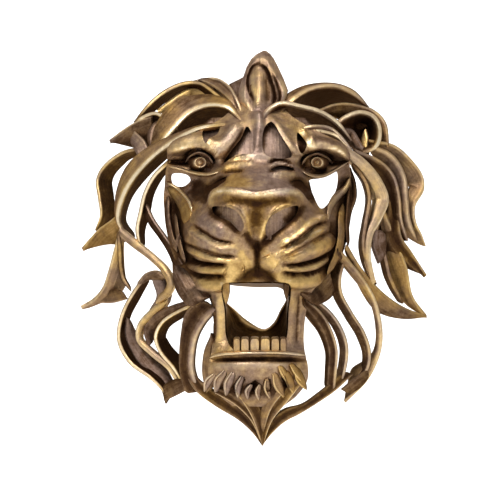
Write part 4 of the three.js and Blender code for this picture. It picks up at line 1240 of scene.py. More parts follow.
@dataclass(frozen=True)
class Throat:
    """The funnel from the gaping lips back to its smaller inner opening."""

    lips: Path = WINDOWS[0]
    opening: Path = (
        (226, 286), (240, 286), (256, 287), (270, 287), (283, 287), (286, 297),
        (280, 309), (273, 322), (264, 328), (248, 320), (234, 308), (226, 300),
    )
    back: float = 104
    rim: float = 112
    middle_row: float = 315
    around: int = 120

    def skin(self) -> Skin:
        """A ring-shaped skin: in front from the lips to the opening's rim, and back behind."""
        lips, _ = smooth_path(self.lips, self.around, closed=True)
        hole, _ = smooth_path(self.opening, self.around, closed=True)
        away = unit_vectors(lips - np.array([GRID.centre_column, self.middle_row]))
        level = face_depth(lips[:, 0], lips[:, 1])
        share = np.linspace(0, 1, 14)[:, None]
        start = lips - away * 1.5
        column = start[:, 0] + (hole[:, 0] - start[:, 0]) * share
        row = start[:, 1] + (hole[:, 1] - start[:, 1]) * share
        depth = (level - 4) + (self.rim - level + 4) * share**0.7
        rim = 3.5 * np.exp(-(((share - 0.93) / 0.07) ** 2))
        front = GRID.place(column, row, depth + rim)
        behind_hole, behind_lip = hole + away * 2, lips + away * 5
        behind_hole = GRID.place(behind_hole[:, 0], behind_hole[:, 1], self.back)
        behind_lip = GRID.place(behind_lip[:, 0], behind_lip[:, 1], level - 11)
        rings = np.concatenate([front, behind_hole[None], behind_lip[None]])
        # Painted highlight on the opening's rim; painted shade deeper in the funnel, toward its right and
        # lower part, and on the back rings.
        bright = 0.5 * np.exp(-(((share - 0.94) / 0.08) ** 2))
        shade = 0.34 - 0.3 * ease((column - 262) / 16) * ease((row - 292) / 20) - 0.12 * share
        tone = np.concatenate([shade + bright, np.full((2, self.around), 0.08)])
        ring, step = np.arange(len(rings))[:, None], np.arange(self.around)[None]
        grain = grained(ring * GRAIN_STEP, step * GRAIN_STEP, 60.0)
        return ring_skin(rings, tone, np.full(tone.shape, 0.75), grain, looped=True)


@dataclass(frozen=True)
class HangingBoss:
    """The boss at the back that meets the wall, with the neck that carries the crest."""

    width: float = 0.016
    top: float = 0.004
    low: float = -0.017
    thick: float = 0.011
    neck: float = 0.009
    margin: float = 0.003
    head_radius: float = 0.004
    slot_radius: float = 0.002
    slot_top: float = -0.0055
    entry: float = -0.012
    deep: float = 0.008
    lip: float = 0.003
    edge: float = 0.0006
    shoulder: float = 0.0008
    past: float = 0.001

    @staticmethod
    def _section(half: float, low: float, top: float, y: float) -> np.ndarray:
        """One soft-cornered rectangle across the neck, at a depth.

        Args:
            half: half its width.
            low: its lower side.
            top: its upper side.
            y: the depth.

        Returns:
            The ring's points.
        """
        angle = turn(48)
        x = half * squared(np.cos(angle), 0.22)
        z = (low + top) / 2 + (top - low) / 2 * squared(np.sin(angle), 0.22)
        return np.stack([x, np.full(len(angle), y), z], axis=1)

    def skin(self) -> Skin:
        """Rings from the wall forward: boss, shoulder and neck, with the keyhole cut in."""
        half, neck = self.width / 2, self.neck / 2
        low, top = self.low + self.margin, self.top - self.margin
        row = GRID.origin_row - (low + top) / 2 / GRID.unit
        front = -face_depth(np.array([GRID.centre_column]), np.array([row]))[0] * GRID.depth / GRID.layers
        edge, shoulder = self.edge, self.shoulder
        stops = [
            (half - edge, self.low + edge, self.top - edge, 0),
            (half, self.low, self.top, -edge),
            (half, self.low, self.top, -self.thick + shoulder),
            (half - shoulder, self.low + shoulder, self.top - shoulder, -self.thick),
            (neck + edge, low - edge, top + edge, -self.thick - self.margin * 0.8),
            (neck, low, top, -self.thick - self.margin * 1.3),
            (neck, low, top, front + FACE_WALL / 2),
        ]
        rings = np.stack([self._section(*stop) for stop in stops])
        target = plain_object("boss", bare_rings(rings))
        angle = turn(40)
        for radius, top_z, near, far in (
            (self.slot_radius, self.slot_top, self.past, -self.lip - 0.0005),
            (self.head_radius, self.slot_top, -self.lip, -self.deep),
            (self.head_radius, self.entry, self.past, -self.deep - 0.0002),
        ):
            x = radius * np.cos(angle)
            z = radius * np.sin(angle) + np.where(np.sin(angle) > 0, top_z, self.entry)
            rings = np.stack([np.stack([x, np.full(len(angle), y), z], axis=1) for y in (near, far)])
            cut = target.modifiers.new("keyhole", "BOOLEAN")
            cut.operation, cut.solver = "DIFFERENCE", "MANIFOLD"
            cut.object = plain_object("cutter", bare_rings(rings))
        points, triangles = evaluated_triangles(target)
        for cut in target.modifiers:
            bpy.data.objects.remove(cut.object)
        bpy.data.objects.remove(target)
        tone = np.full(len(points), 0.28)
        return Skin(points, NO_QUADS, triangles, tone, tone + 0.1, points)


def plain_object(name: str, skin: Skin) -> bpy.types.Object:
    """A bare object in the scene made from a skin, its points placed in its mesh."""
    mesh = bpy.data.meshes.new(name)
    faces = skin.quads.tolist() + skin.triangles.reshape(-1, 3).tolist()
    mesh.from_pydata(skin.points.tolist(), [], faces)
    mesh.update()
    made = bpy.data.objects.new(name, mesh)
    bpy.context.scene.collection.objects.link(made)
    return made


def evaluated_triangles(made: bpy.types.Object) -> tuple[np.ndarray, np.ndarray]:
    """Works out an object's modifiers.

    Args:
        made: the object.

    Returns:
        The points and the triangles of its mesh.
    """
    mesh = made.evaluated_get(bpy.context.evaluated_depsgraph_get()).to_mesh()
    mesh.calc_loop_triangles()
    points = np.empty(len(mesh.vertices) * 3)
    mesh.vertices.foreach_get("co", points)
    corners = np.empty(len(mesh.loop_triangles) * 3, np.int64)
    mesh.loop_triangles.foreach_get("vertices", corners)
    return points.reshape(-1, 3), corners.reshape(-1, 3)


@dataclass(frozen=True)
class Bud:
    """The crest: a closed bud whose hood folds over a golden tongue.

    Each station gives a row, the columns of the two sides, the depth of the sides and how far
    the middle stands in front of them.
    """

    stations: Sequence[Numbers] = (
        (51.5, 263, 266, 58, 2),
        (55, 256.5, 270.5, 63, 6),
        (60, 251, 274, 68, 9),
        (68, 246.5, 278, 74, 13),
        (80, 242.5, 283.5, 82, 15),
        (92, 238.5, 288, 91, 15),
        (104, 239, 284, 100, 14),
        (118, 248, 273, 109, 13),
        (136, 255, 264, 122, 8),
    )
    carving: Sequence[Stroke] = (
        Stroke(((254, 103), (250, 94), (247.5, 84), (249, 75), (253, 67.6), (258, 64.5)), 1.4, -4.5, -0.65),
        Stroke(
            ((258, 64.5), (264, 68.6), (268, 75), (270.4, 82), (273, 90), (274.5, 99), (273, 108)),
            1.5, -4.5, -0.7,
        ),
        Stroke(((258, 70), (258, 82), (259, 96), (258, 110)), 6, 5, 0.12, 0.35),
        Stroke(((253, 74), (252, 86), (256, 100), (256, 108)), 2.5, 1, 0.25, 0.3),
        Stroke(((265, 78), (267, 90), (268, 104)), 3, -1, -0.2, 0.3),
        Stroke(((250, 64), (258, 58), (267, 62), (273, 72), (277, 84)), 3.4, 3, 0.1, 0.0),
        Stroke(((272, 74), (277, 86), (280, 98), (277, 110)), 1.5, -3, -0.45),
        Stroke(((279, 80), (284, 92), (283, 104)), 2.2, 2, 0.25, 0.1),
        Stroke(((243, 86), (243, 98), (249, 112), (255, 124)), 3, 2, 0.2, 0.2),
        Stroke(((258, 112), (259, 124), (259, 134)), 3.5, 2, 0.05, -0.6),
    )
    down: int = 110
    across: int = 64
    wall: float = 8

    def skin(self) -> Skin:
        """Closed skin: the front bulges by one less the square of the share across.

        The strokes are added to the front, and the back follows it at the wall's distance.
        """
        table = np.array(self.stations)
        row = table[0, 0] + (table[-1, 0] - table[0, 0]) * np.linspace(0, 1, self.down) ** 1.15
        sides = (np.interp(row, table[:, 0], table[:, i])[:, None] for i in range(1, 5))
        left, right, side, bulge = sides
        u = np.sin(np.linspace(-np.pi / 2, np.pi / 2, self.across))[None, :]
        column = (left + right) / 2 + (right - left) / 2 * u
        rows = np.broadcast_to(row[:, None], column.shape)
        dome = bulge * (1 - u**2) ** 0.8
        height, tone, ochre = relief(self.carving, column, rows)
        fade = np.clip(4 * (1 - np.abs(u)), 0, 1)
        front = GRID.place(column, rows, side + dome + height * fade)
        back = GRID.place(column[:, ::-1], rows, (side - self.wall + dome)[:, ::-1])[:, 1:-1]
        rings = np.concatenate([front, back], axis=1)
        # Painted shade in the carving's grooves and painted highlight on its ridges; the back takes the
        # painted shade tone.
        shade = 0.44 + tone + 0.1 * np.abs(u) ** 6
        dark = np.full(back.shape[:2], PAINTED_SHADE_TONE)
        hue = np.clip(0.25 + ochre, 0, 1)
        tones, ochres = np.concatenate([shade, dark], axis=1), np.concatenate([hue, dark], axis=1)
        return ring_skin(rings, tones, ochres, rings)


# Low lock tones, about 0.1, are painted shade over dark patina: on straps whose walls fall deep, and on the
# flat backing straps laid low under dark gaps.
LEFT_MANE = (
    Lock(
        ((244, 116), (238, 100), (230, 87), (218, 79), (206, 79), (192, 82)),
        (-6, -14, -19, -17, -9, -2), (42, 40, 36, 30, 26, 22), (12,), 0.42, 0.4, 0.8,
    ),
    Lock(
        ((245, 79), (249, 93), (251, 106), (253, 120)),
        (22, 18, 11, 3), (34, 36, 38, 36), (6,), 0.42, 0.2, 0.5,
    ),
    Lock(
        ((236, 112), (226, 99), (212, 87), (198, 81)),
        (7, 8, 7, 3), (38, 34, 28, 24), (4,), 0.4, 0.4, 0.75,
    ),
    Lock(
        ((230, 107), (216, 94), (200, 83), (184, 83), (165, 91), (148, 105), (134, 122)),
        (-6, -12, -12, -9, -9, -8, -2), (36, 32, 27, 25, 22, 20, 12), (22, 24, 22, 18, 16, 12, 6),
        0.1, 0.8, 0.72,
    ),
    Lock(
        ((228, 108), (208, 94), (193, 88), (180, 93), (157, 110)),
        (-6, -15, -17, -13, -8), (20, 15, 12, 10, 8), (5,), 0.58, 1.0, 0.7, crown=3,
    ),
    Lock(
        ((241, 123), (228, 110), (210, 107), (190, 114), (174, 130), (155, 153)),
        (-3, -12, -17, -17, -14, -4), (42, 38, 30, 24, 22, 20), (12, 20, 22, 22, 20, 14), 0.08, 0.6,
        1.0, wing=(3, 8, 13, 19, 16, 6), wing_drop=(8, 10, 12, 14, 14, 8), wing_tone=0.42,
    ),
    Lock(
        ((134, 123), (144, 116), (156, 113), (167, 119), (178, 130)),
        (3, 8, 9, 8, 4), (14, 20, 24, 24, 22), (18,), 0.1, 0.6, 0.95,
    ),
    Lock(((168, 122), (160, 132), (154, 150)), (6, 11, 5), (12, 8, 10), (3,), 0.4, 0.0, 0.5, crown=3),
    Lock(((142, 118), (146, 132), (152, 156)), (-10, -14, -6), (2, 0, 4), (2,), 0.1, 0.5, 0.15),
    Lock(
        ((154, 116), (138, 121), (124, 129), (109, 140)),
        (-20, -30, -22, -1), (18, 16, 15, 13), (2,), 0.3, 0.3, 0.85, crown=4,
    ),
    Lock(((136, 132), (146, 142), (152, 158)), (12, 14, 12), (12, 12, 12), (4,), 0.5, 0.0, 0.52),
    Lock(
        ((226, 127), (200, 131), (178, 141), (154, 158), (135, 178), (123, 200), (120, 222), (134, 241)),
        (-3, -6, -7, -9, -9, -7, -6, -5), (44, 34, 28, 25, 24, 22, 20, 22), (16,), 0.08, 0.6, 1.0,
        wing=(2, 3, 6, 11, 13, 8, 2, 2), wing_drop=(10,), wing_tone=0.5,
    ),
    Lock(
        ((171, 160), (155, 175), (145, 193), (140, 213), (137, 230), (141, 250)),
        (-5, -8, -9, -10, -8, -5), (20,), (14,), 0.1, 0.6, 1.0,
    ),
    Lock(
        ((148, 203), (155, 219), (165, 233), (175, 247), (184, 264)),
        (5, 7, 7, 8, 10), (10, 12, 16, 20, 24), (6,), 0.2, 0.2, 0.55,
    ),
    Lock(
        ((140, 148), (122, 152), (103, 166), (96, 180), (98, 198), (100, 215), (95, 230)),
        (-6, -11, -14, -16, -16, -15, -14), (14, 14, 15, 16, 16, 15, 12), (12,), 0.3, 0.9, 0.85,
    ),
    Lock(
        ((120, 213), (110, 221), (100, 228), (90, 238), (81, 248)),
        (-27, -26, -20, -11, -1), (14, 15, 16, 14, 12), (4,), 0.42, 0.9, 0.8, crown=3,
    ),
    Lock(
        ((120, 228), (114, 250), (108, 272), (102, 288), (92, 299), (80, 306)),
        (-4, -9, -15, -21, -8, -1), (14, 14, 14, 14, 13, 12), (7,), 0.5, 0.5, 0.8, crown=3,
    ),
    Lock(
        ((118, 232), (119, 250), (120, 266), (123, 280), (131, 291)),
        (-3,), (16, 14, 12, 12, 12), (6,), 0.2, 0.5, 0.5,
    ),
    Lock(
        ((124, 228), (142, 243), (158, 256), (171, 269), (177, 283), (172, 295), (160, 303)),
        (9, 9, 8, 8, 9, 9, 8), (20, 21, 22, 23, 23, 22, 18), (3,), 0.62, 0.6, 0.8, crown=3,
    ),
    Lock(
        ((138, 282), (146, 273), (158, 270), (170, 276)),
        (5, 8, 10, 6), (14, 17, 18, 16), (3,), 0.4, 0.4, 0.7, crown=2,
    ),
    Lock(
        ((150, 272), (154, 284), (157, 296), (150, 309)),
        (-12, -17, -15, -9), (13, 11, 11, 12), (2,), 0.48, 0.0, 0.5, crown=4,
    ),
    Lock(
        ((182, 236), (190, 258), (200, 278), (212, 296)),
        (8, 18, 26, 24), (10, 14, 20, 28), (4,), 0.4, 0.2, 0.4, crown=3,
    ),
    Lock(
        ((148, 273), (133, 292), (121, 316), (118, 340), (129, 362), (150, 378), (163, 391), (166, 403)),
        (-5, -9, -9, -9, -9, -9, -14, -2), (16, 17, 18, 18, 18, 18, 17, 14), (12,), 0.12, 0.6, 0.9,
    ),
    Lock(
        ((168, 297), (152, 308), (138, 324), (137, 340), (151, 355), (168, 369), (180, 388)),
        (-6, -8, -8, -7, -7, -8, -8), (16, 16, 16, 16, 16, 16, 14), (5,), 0.6, 0.6, 0.8, crown=2,
    ),
    Lock(
        ((202, 300), (180, 309), (162, 321), (155, 336), (160, 352), (174, 369), (184, 386)),
        (-6, -8, -9, -11, -13, -13, -8), (36, 26, 20, 18, 18, 18, 18), (14,), 0.14, 0.8, 0.95,
    ),
    Lock(
        ((196, 298), (174, 304), (154, 314), (144, 328), (148, 346)),
        (-8, -11, -13, -13, -7), (22, 16, 13, 12, 12), (4,), 0.3, 0.0, 0.4, crown=2,
    ),
    Lock(
        ((216, 307), (204, 319), (196, 333), (192, 350), (192, 370), (200, 390)),
        (14, 19, 14, 12, 12, 14), (34, 28, 22, 22, 24, 30), (5,), 0.46, 0.3, 0.75,
        wing=(-2, -3, -3, -3, -3, -4), wing_drop=(12,), wing_tone=0.1, folds=1,
    ),
    Lock(((166, 400), (180, 393), (193, 386)), (-14, -16, -10), (14, 18, 26), (3,), 0.36, 0.5, 0.4),
    Lock(
        ((125, 316), (126, 338), (138, 362), (155, 379), (168, 394)),
        (-5, -14, -18, -17, -12), (8,), (2,), 0.42, 0.0, 0.45, crown=2,
    ),
    Lock(
        ((214, 332), (206, 346), (203, 360), (203, 374), (207, 390)),
        (-4, -10, -14, -14, -10), (40, 42, 42, 42, 42), (-4,), 0.42, 0.5, 0.5, crown=3,
    ),
    Lock(((99, 303), (113, 303), (128, 299)), (-12, -14, -10), (8, 9, 10), (2,), 0.4, 0.5, 0.5),
)

RIGHT_MANE = (
    Lock(
        ((280, 114), (297, 98), (313, 90), (335, 88), (351, 94), (368, 108)),
        (4, 10, 20, 21, 13, 3), (40, 34, 30, 28, 26, 18), (14, 26, 30, 30, 26, 10), 0.03, 0.5, 0.75,
        wing=(-10, -8, -5, -3, -3, -1), wing_drop=(8,), wing_tone=0.36,
    ),
    Lock(
        ((314, 112), (335, 104), (355, 104), (374, 110), (386, 123), (389, 148)),
        (4, 16, 20, 14, 13, 9), (22, 18, 18, 20, 22, 18), (6,), 0.3, 0.6, 0.75, crown=2,
    ),
    Lock(
        ((261, 128), (267, 114), (280, 106), (300, 109), (319, 114), (336, 125), (350, 142)),
        (3, 6, 10, 15, 16, 12, 5), (44, 46, 42, 36, 32, 28, 26), (8, 16, 24, 26, 26, 22, 14), 0.1,
        0.3, 0.9, wing=(-1, -1, -2, -2, -2, -2, -1), wing_drop=(6,), wing_tone=0.4,
    ),
    Lock(
        ((298, 129), (314, 126), (330, 128), (342, 138), (352, 152)),
        (4, 6, 7, 6, 4), (44, 36, 30, 27, 25), (3,), 0.45, 0.2, 0.75,
    ),
    Lock(
        ((309, 130), (325, 132), (338, 137), (349, 150)),
        (5, 9, 9, 5), (36, 30, 27, 25), (18,), 0.1, 0.5, 0.85,
    ),
    Lock(
        ((335, 127), (345, 119), (360, 114), (373, 119), (378, 132), (374, 147), (362, 153)),
        (4, 8, 8, 8, 8, 7, 6), (24, 25, 25, 24, 23, 22, 20), (18,), 0.14, 0.5, 0.9,
        wing=(-1, -2, -2, -2, -2, -2, -1), wing_drop=(5,), wing_tone=0.5,
    ),
    Lock(
        ((340, 128), (352, 130), (360, 142), (366, 152)),
        (10, 13, 12, 6), (14, 12, 12, 14), (3,), 0.36, 0.0, 0.5, crown=3,
    ),
    Lock(((366, 130), (368, 140), (366, 152)), (4, 7, 4), (14, 14, 14), (3,), 0.72, 1.0, 0.85),
    Lock(
        ((340, 118), (356, 115), (372, 126), (368, 158)),
        (16, 28, 28, 16), (2, 2, 2, 6), (2,), 0.1, 0.4, 0.12,
    ),
    Lock(
        (
            (368, 140), (394, 145), (411, 159), (423, 176), (424, 190), (415, 207), (416, 222),
            (422, 235), (426, 246),
        ),
        (9, 13, 16, 20, 20, 15, 13, 15, 4), (20, 18, 18, 18, 18, 17, 16, 15, 13),
        (8, 9, 9, 6, 5, 4, 4, 4, 3), 0.5, 0.6, 0.8,
    ),
    Lock(
        ((370, 147), (390, 157), (402, 176), (405, 200), (407, 220), (417, 242)),
        (7, 11, 12, 12, 10, 3), (20, 18, 17, 16, 15, 14), (6,), 0.42, 0.4, 0.7,
        wing=(-1, -2, -2, -2, -2, -1), wing_drop=(8,), wing_tone=0.1,
    ),
    Lock(
        ((354, 150), (380, 161), (394, 176), (400, 198), (402, 220), (408, 240)),
        (8, 12, 14, 14, 14, 12), (24, 20, 18, 16, 15, 14), (5,), 0.44, 0.4, 0.7, crown=2, folds=1,
    ),
    Lock(
        ((396, 190), (399, 214), (401, 236), (411, 251), (427, 275)),
        (10, 20, 26, 17, 1), (8, 10, 13, 14, 12), (4,), 0.42, 0.8, 0.7, crown=3, folds=2,
    ),
    Lock(
        ((345, 147), (364, 160), (380, 179), (388, 200), (381, 219), (372, 236), (370, 256), (375, 282)),
        (8, 16, 18, 18, 14, 8, 7, 3), (26, 25, 24, 23, 22, 21, 20, 17), (3,), 0.66, 0.5, 0.85,
        crown=4,
    ),
    Lock(
        ((352, 164), (365, 182), (369, 200), (365, 226), (363, 246), (369, 268), (376, 284)),
        (2, 3, 3, 3, 4, 5, 4), (20, 20, 20, 20, 20, 19, 16), (14,), 0.1, 0.5, 0.5,
    ),
    Lock(
        ((383, 206), (397, 240), (407, 268), (413, 296), (427, 315)),
        (5, 14, 21, 14, 1), (0, 5, 10, 12, 11), (4,), 0.46, 0.8, 0.8, crown=3,
    ),
    Lock(
        ((380, 218), (376, 236), (384, 252), (390, 276), (403, 303)),
        (4, 6, 6, 5, 4), (22, 16, 14, 14, 14), (12,), 0.14, 0.5, 0.5,
    ),
    Lock(
        ((346, 244), (358, 264), (375, 285), (394, 301), (411, 310), (427, 315)),
        (5, 9, 15, 19, 12, 1), (24, 18, 15, 14, 13, 11), (3,), 0.46, 0.8, 0.7, crown=2,
    ),
    Lock(
        ((338, 248), (364, 280), (376, 302), (382, 334), (379, 356), (367, 380), (345, 402)),
        (8, 9, 6, 6, 8, 20, 3), (42, 24, 18, 18, 18, 18, 16), (5,), 0.5, 0.6, 0.8, crown=2,
    ),
    Lock(
        ((344, 262), (340, 278), (341, 292), (351, 311), (364, 332), (370, 352), (367, 370), (352, 388)),
        (12, 10, 9, 9, 9, 8, 7, 5), (32, 30, 27, 21, 18, 18, 18, 18), (8,), 0.3, 0.4, 0.7,
    ),
    Lock(
        ((303, 290), (328, 309), (341, 327), (347, 346), (346, 364), (341, 384)),
        (5, 7, 8, 8, 8, 8), (40, 28, 22, 20, 20, 20), (8,), 0.34, 0.3, 0.75,
    ),
    Lock(
        ((302, 294), (322, 313), (332, 331), (337, 350), (336, 370), (334, 390)),
        (10, 15, 14, 13, 12, 11), (40, 28, 22, 22, 22, 24), (5,), 0.42, 0.4, 0.75, crown=4, folds=2,
    ),
    Lock(
        ((335, 248), (323, 267), (311, 281), (298, 293)),
        (-8, -18, -25, -18), (8, 6, 10, 24), (3,), 0.36, 0.3, 0.36, crown=3,
    ),
    Lock(
        ((350, 168), (355, 182), (356, 198), (351, 213), (348, 230)),
        (5, 7, 7, 5, 3), (2,), (2,), 0.14, 0.3, 0.3,
    ),
    Lock(((370, 228), (370, 246), (376, 263)), (-14, -16, -10), (10, 9, 8), (2,), 0.42, 0.0, 0.45, crown=2),
    Lock(((366, 368), (352, 378), (340, 388)), (-8, -12, -10), (14, 16, 16), (2,), 0.36, 0.6, 0.45),
)

BEARD = (
    Lock(
        ((186, 374), (197, 390), (216, 404), (239, 418), (253, 431), (262, 444)),
        (-8, -12, -13, -12, -8, -1), (22, 32, 36, 36, 36, 34), (-2, -4, -6, -6, -4, 0), 0.46, 0.5,
        0.65, wall=0.0035, folds=1,
    ),
    Lock(
        ((352, 374), (334, 390), (316, 402), (299, 412), (284, 420), (272, 431), (262, 444)),
        (8, 10, 9, 8, 12, 9, 1), (18, 22, 27, 32, 36, 36, 34), (-1, -2, -2, -3, -4, -3, 0), 0.5,
        0.7, 0.7, wall=0.0035, folds=1,
    ),
    Lock(
        ((214, 390), (236, 403), (252, 420), (262, 442)),
        (-12, -14, -9, -2), (60, 62, 48, 36), (-3,), 0.46, 0.6, 0.8, wall=0.004, folds=2,
    ),
    Lock(
        ((236, 390), (250, 411), (262, 441)),
        (-14, -12, -2), (66, 58, 38), (-3,), 0.5, 0.7, 0.85, wall=0.004, folds=1,
    ),
    Lock(
        ((300, 382), (286, 400), (272, 418), (262, 443)),
        (12, 12, 9, 2), (62, 62, 50, 37), (-3,), 0.6, 0.8, 1.0, wall=0.004, crown=2, folds=1,
    ),
    Lock(
        ((284, 388), (271, 406), (262, 432)),
        (12, 10, 2), (70, 62, 44), (-3,), 0.5, 0.7, 0.95, wall=0.004,
    ),
)

# Column, half width and tone of each.
LOWER_TEETH = tuple(
    Tooth(column, 344, half, 9, 140, 172, tone=tone)
    for column, half, tone in (
        (237, 3.6, 0.55), (245, 4.6, 0.66), (254.6, 5.2, 0.68),
        (265, 5.4, 0.66), (274.8, 4.6, 0.6), (282.6, 3.4, 0.5),
    )
)
FANGS = (
    Tooth(226.5, 291, 4, 14, 150, 188, point=0.85, tone=0.5, ochre=0.8),
    Tooth(285.5, 288, 3.2, 11, 150, 180, point=0.85, tone=0.3),
)


class Socket:
    """A shader value that adds its Math nodes as a number would be worked out."""

    def __init__(self, tree: bpy.types.NodeTree, out: bpy.types.NodeSocket) -> None:
        """Wraps an output socket of a tree."""
        self.tree, self.out = tree, out

    def _math(self, operation: str, *values: Socket | float) -> Socket:
        """One Math node over the values."""
        inputs = {i: v for i, v in enumerate(values)}
        return add_node(self.tree, "ShaderNodeMath", {"operation": operation}, inputs)[0]

    def __add__(self, other: Socket | float) -> Socket:
        """Sum."""
        return self._math("ADD", self, other)

    def __sub__(self, other: Socket | float) -> Socket:
        """Difference."""
        return self._math("SUBTRACT", self, other)

    def __rsub__(self, other: float) -> Socket:
        """Number less the value."""
        return self._math("SUBTRACT", other, self)

    def __mul__(self, other: Socket | float) -> Socket:
        """Product."""
        return self._math("MULTIPLY", self, other)

    def clipped(self) -> Socket:
        """The value kept between zero and one."""
        return add_node(self.tree, "ShaderNodeClamp", {}, {"Value": self})[0]


def add_node(tree: bpy.types.NodeTree, kind: str, settings: dict, inputs: dict) -> list[Socket]:
    """Adds a node.

    Args:
        tree: the node tree.
        kind: the node's type.
        settings: its own settings, set first; stops are a colour ramp's places and colours.
        inputs: values or sockets by the input's name or number.

    Returns:
        The node's outputs, each as a Socket.
    """
    node = tree.nodes.new(kind)
    for key, value in settings.items():
        if key == "stops":
            ramp = node.color_ramp
            while len(ramp.elements) < len(value):
                ramp.elements.new(1)
            for element, (place, colour) in zip(ramp.elements, value):
                element.position, element.color = place, (*colour, 1)
        else:
            setattr(node, key, value)
    for key, value in inputs.items():
        if isinstance(value, Socket):
            tree.links.new(value.out, node.inputs[key])
        else:
            node.inputs[key].default_value = value
    return [Socket(tree, out) for out in node.outputs]


def noise(tree: bpy.types.NodeTree, vector: Socket, scale: float, detail: float, rough: float) -> Socket:
    """A noise texture.

    Args:
        tree: the node tree.
        vector: where it is read.
        scale: its scale.
        detail: its detail.
        rough: its roughness.

    Returns:
        Its value.
    """
    inputs = {"Vector": vector, "Scale": scale, "Detail": detail, "Roughness": rough}
    return add_node(tree, "ShaderNodeTexNoise", {}, inputs)[0]


@dataclass(frozen=True)
class BronzeFinish:
    """Antique bronze: patina with painted shade in hollows, taupe faces, rubbed gold with painted highlight
    on rims.
    """

    hollow: Colour = (0.03, 0.012, 0.005)
    shade: Colour = (0.085, 0.046, 0.026)
    taupe: Colour = (0.258, 0.176, 0.138)
    pale: Colour = (0.53, 0.41, 0.305)
    rim: Colour = (0.97, 0.81, 0.55)
    ochre_shade: Colour = (0.085, 0.04, 0.009)
    ochre_middle: Colour = (0.3, 0.175, 0.058)
    ochre_pale: Colour = (0.68, 0.46, 0.175)
    metallic: float = 0.92
    edge_tint: Colour = (0.75, 0.6, 0.48)
    streaks: Place = (1100.0, 75.0, 9.0)
    bump_strength: float = 0.8
    bump_distance: float = 0.0005

    @staticmethod
    def _ramp(level: Socket, stops: Sequence[tuple[float, Colour]]) -> Socket:
        """The colour that the level picks from the stops."""
        return add_node(level.tree, "ShaderNodeValToRGB", {"stops": stops}, {"Fac": level})[0]

    def material(self) -> bpy.types.Material:
        """The finish as a node material that reads each piece's tone, ochre and grain."""
        made = bpy.data.materials.new("antique_bronze_finish")
        made.use_nodes = True
        tree = made.node_tree
        tree.nodes.clear()
        tone, ochre, grain = (
            add_node(tree, "ShaderNodeAttribute", {"attribute_name": name}, {})[output]
            for name, output in (("tone", 2), ("ochre", 2), ("grain", 1))
        )
        place = add_node(tree, "ShaderNodeTexCoord", {}, {})[3]
        multiply = {"operation": "MULTIPLY"}
        streaked = add_node(tree, "ShaderNodeVectorMath", multiply, {0: grain, 1: self.streaks})[0]
        streak = noise(tree, streaked, 1.0, 3.0, 0.6)
        broad = noise(tree, place, 55.0, 2.0, 0.5)
        mottle = noise(tree, place, 240.0, 4.0, 0.6)
        speck = noise(tree, place, 1100.0, 3.0, 0.6)
        level = tone + (broad - 0.5) * 0.3 + (mottle - 0.5) * 0.42
        level = (level + (streak - 0.5) * 0.3 + (speck - 0.5) * 0.2).clipped()
        plain = self._ramp(
            level,
            [
                (0.05, self.hollow),
                (0.25, self.shade),
                (0.48, self.taupe),
                (0.74, self.pale),
                (0.98, self.rim),
            ],
        )
        golden = self._ramp(
            level,
            [
                (0.05, self.hollow),
                (0.25, self.ochre_shade),
                (0.5, self.ochre_middle),
                (0.78, self.ochre_pale),
                (0.98, self.rim),
            ],
        )
        share = (ochre + (broad - 0.5) * 1.8 + (mottle - 0.5) * 0.9).clipped()
        mixed = {0: share, 6: plain, 7: golden}
        colour = add_node(tree, "ShaderNodeMix", {"data_type": "RGBA"}, mixed)[2]
        roughness = (0.6 - level * 0.26 + (mottle - 0.5) * 0.22 + (speck - 0.5) * 0.12).clipped()
        height = mottle * 0.5 + speck * 0.35 + streak * 0.55
        pits = {"Strength": self.bump_strength, "Distance": self.bump_distance, "Height": height}
        surface = {
            "Base Color": colour,
            "Metallic": self.metallic,
            "Roughness": roughness,
            "Specular Tint": (*self.edge_tint, 1),
            "Normal": add_node(tree, "ShaderNodeBump", {}, pits)[0],
        }
        shader = add_node(tree, "ShaderNodeBsdfPrincipled", {}, surface)[0]
        add_node(tree, "ShaderNodeOutputMaterial", {}, {"Surface": shader})
        return made


@dataclass
class Casting:
    """The mask's pieces, each one a part of the same casting, kept inside the part's box."""

    finish: BronzeFinish = field(default_factory=BronzeFinish)
    crease: float = math.radians(48)

    def __post_init__(self) -> None:
        """Makes the one material that every piece shares."""
        self.material = self.finish.material()

    def add(self, name: str, skins: Sequence[Skin]) -> bpy.types.Object:
        """Makes one piece from its skins, dresses it, and ties it to the part's body.

        Args:
            name: the piece's name.
            skins: the closed skins that it is made of.

        Returns:
            The object.
        """
        skin = joined(skins)
        skin.points = np.clip(skin.points, np.array(cad_box[0]), np.array(cad_box[1]))
        piece = plain_object(name, skin)
        mesh = piece.data
        for key, values in (("tone", skin.tone), ("ochre", skin.ochre)):
            mesh.attributes.new(key, "FLOAT", "POINT").data.foreach_set("value", values.astype(np.float32))
        grain = mesh.attributes.new("grain", "FLOAT_VECTOR", "POINT")
        grain.data.foreach_set("vector", skin.grain.astype(np.float32).ravel())
        mesh.polygons.foreach_set("use_smooth", np.ones(len(mesh.polygons), bool))
        mesh.set_sharp_from_angle(angle=self.crease)
        mesh.materials.append(self.material)
        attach(piece, BODY)
        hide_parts(NODE)
        count = 2 * len(skin.quads) + len(skin.triangles)
        LOG.info("%s: %d skins, %d triangles", name, len(skins), count)
        return piece


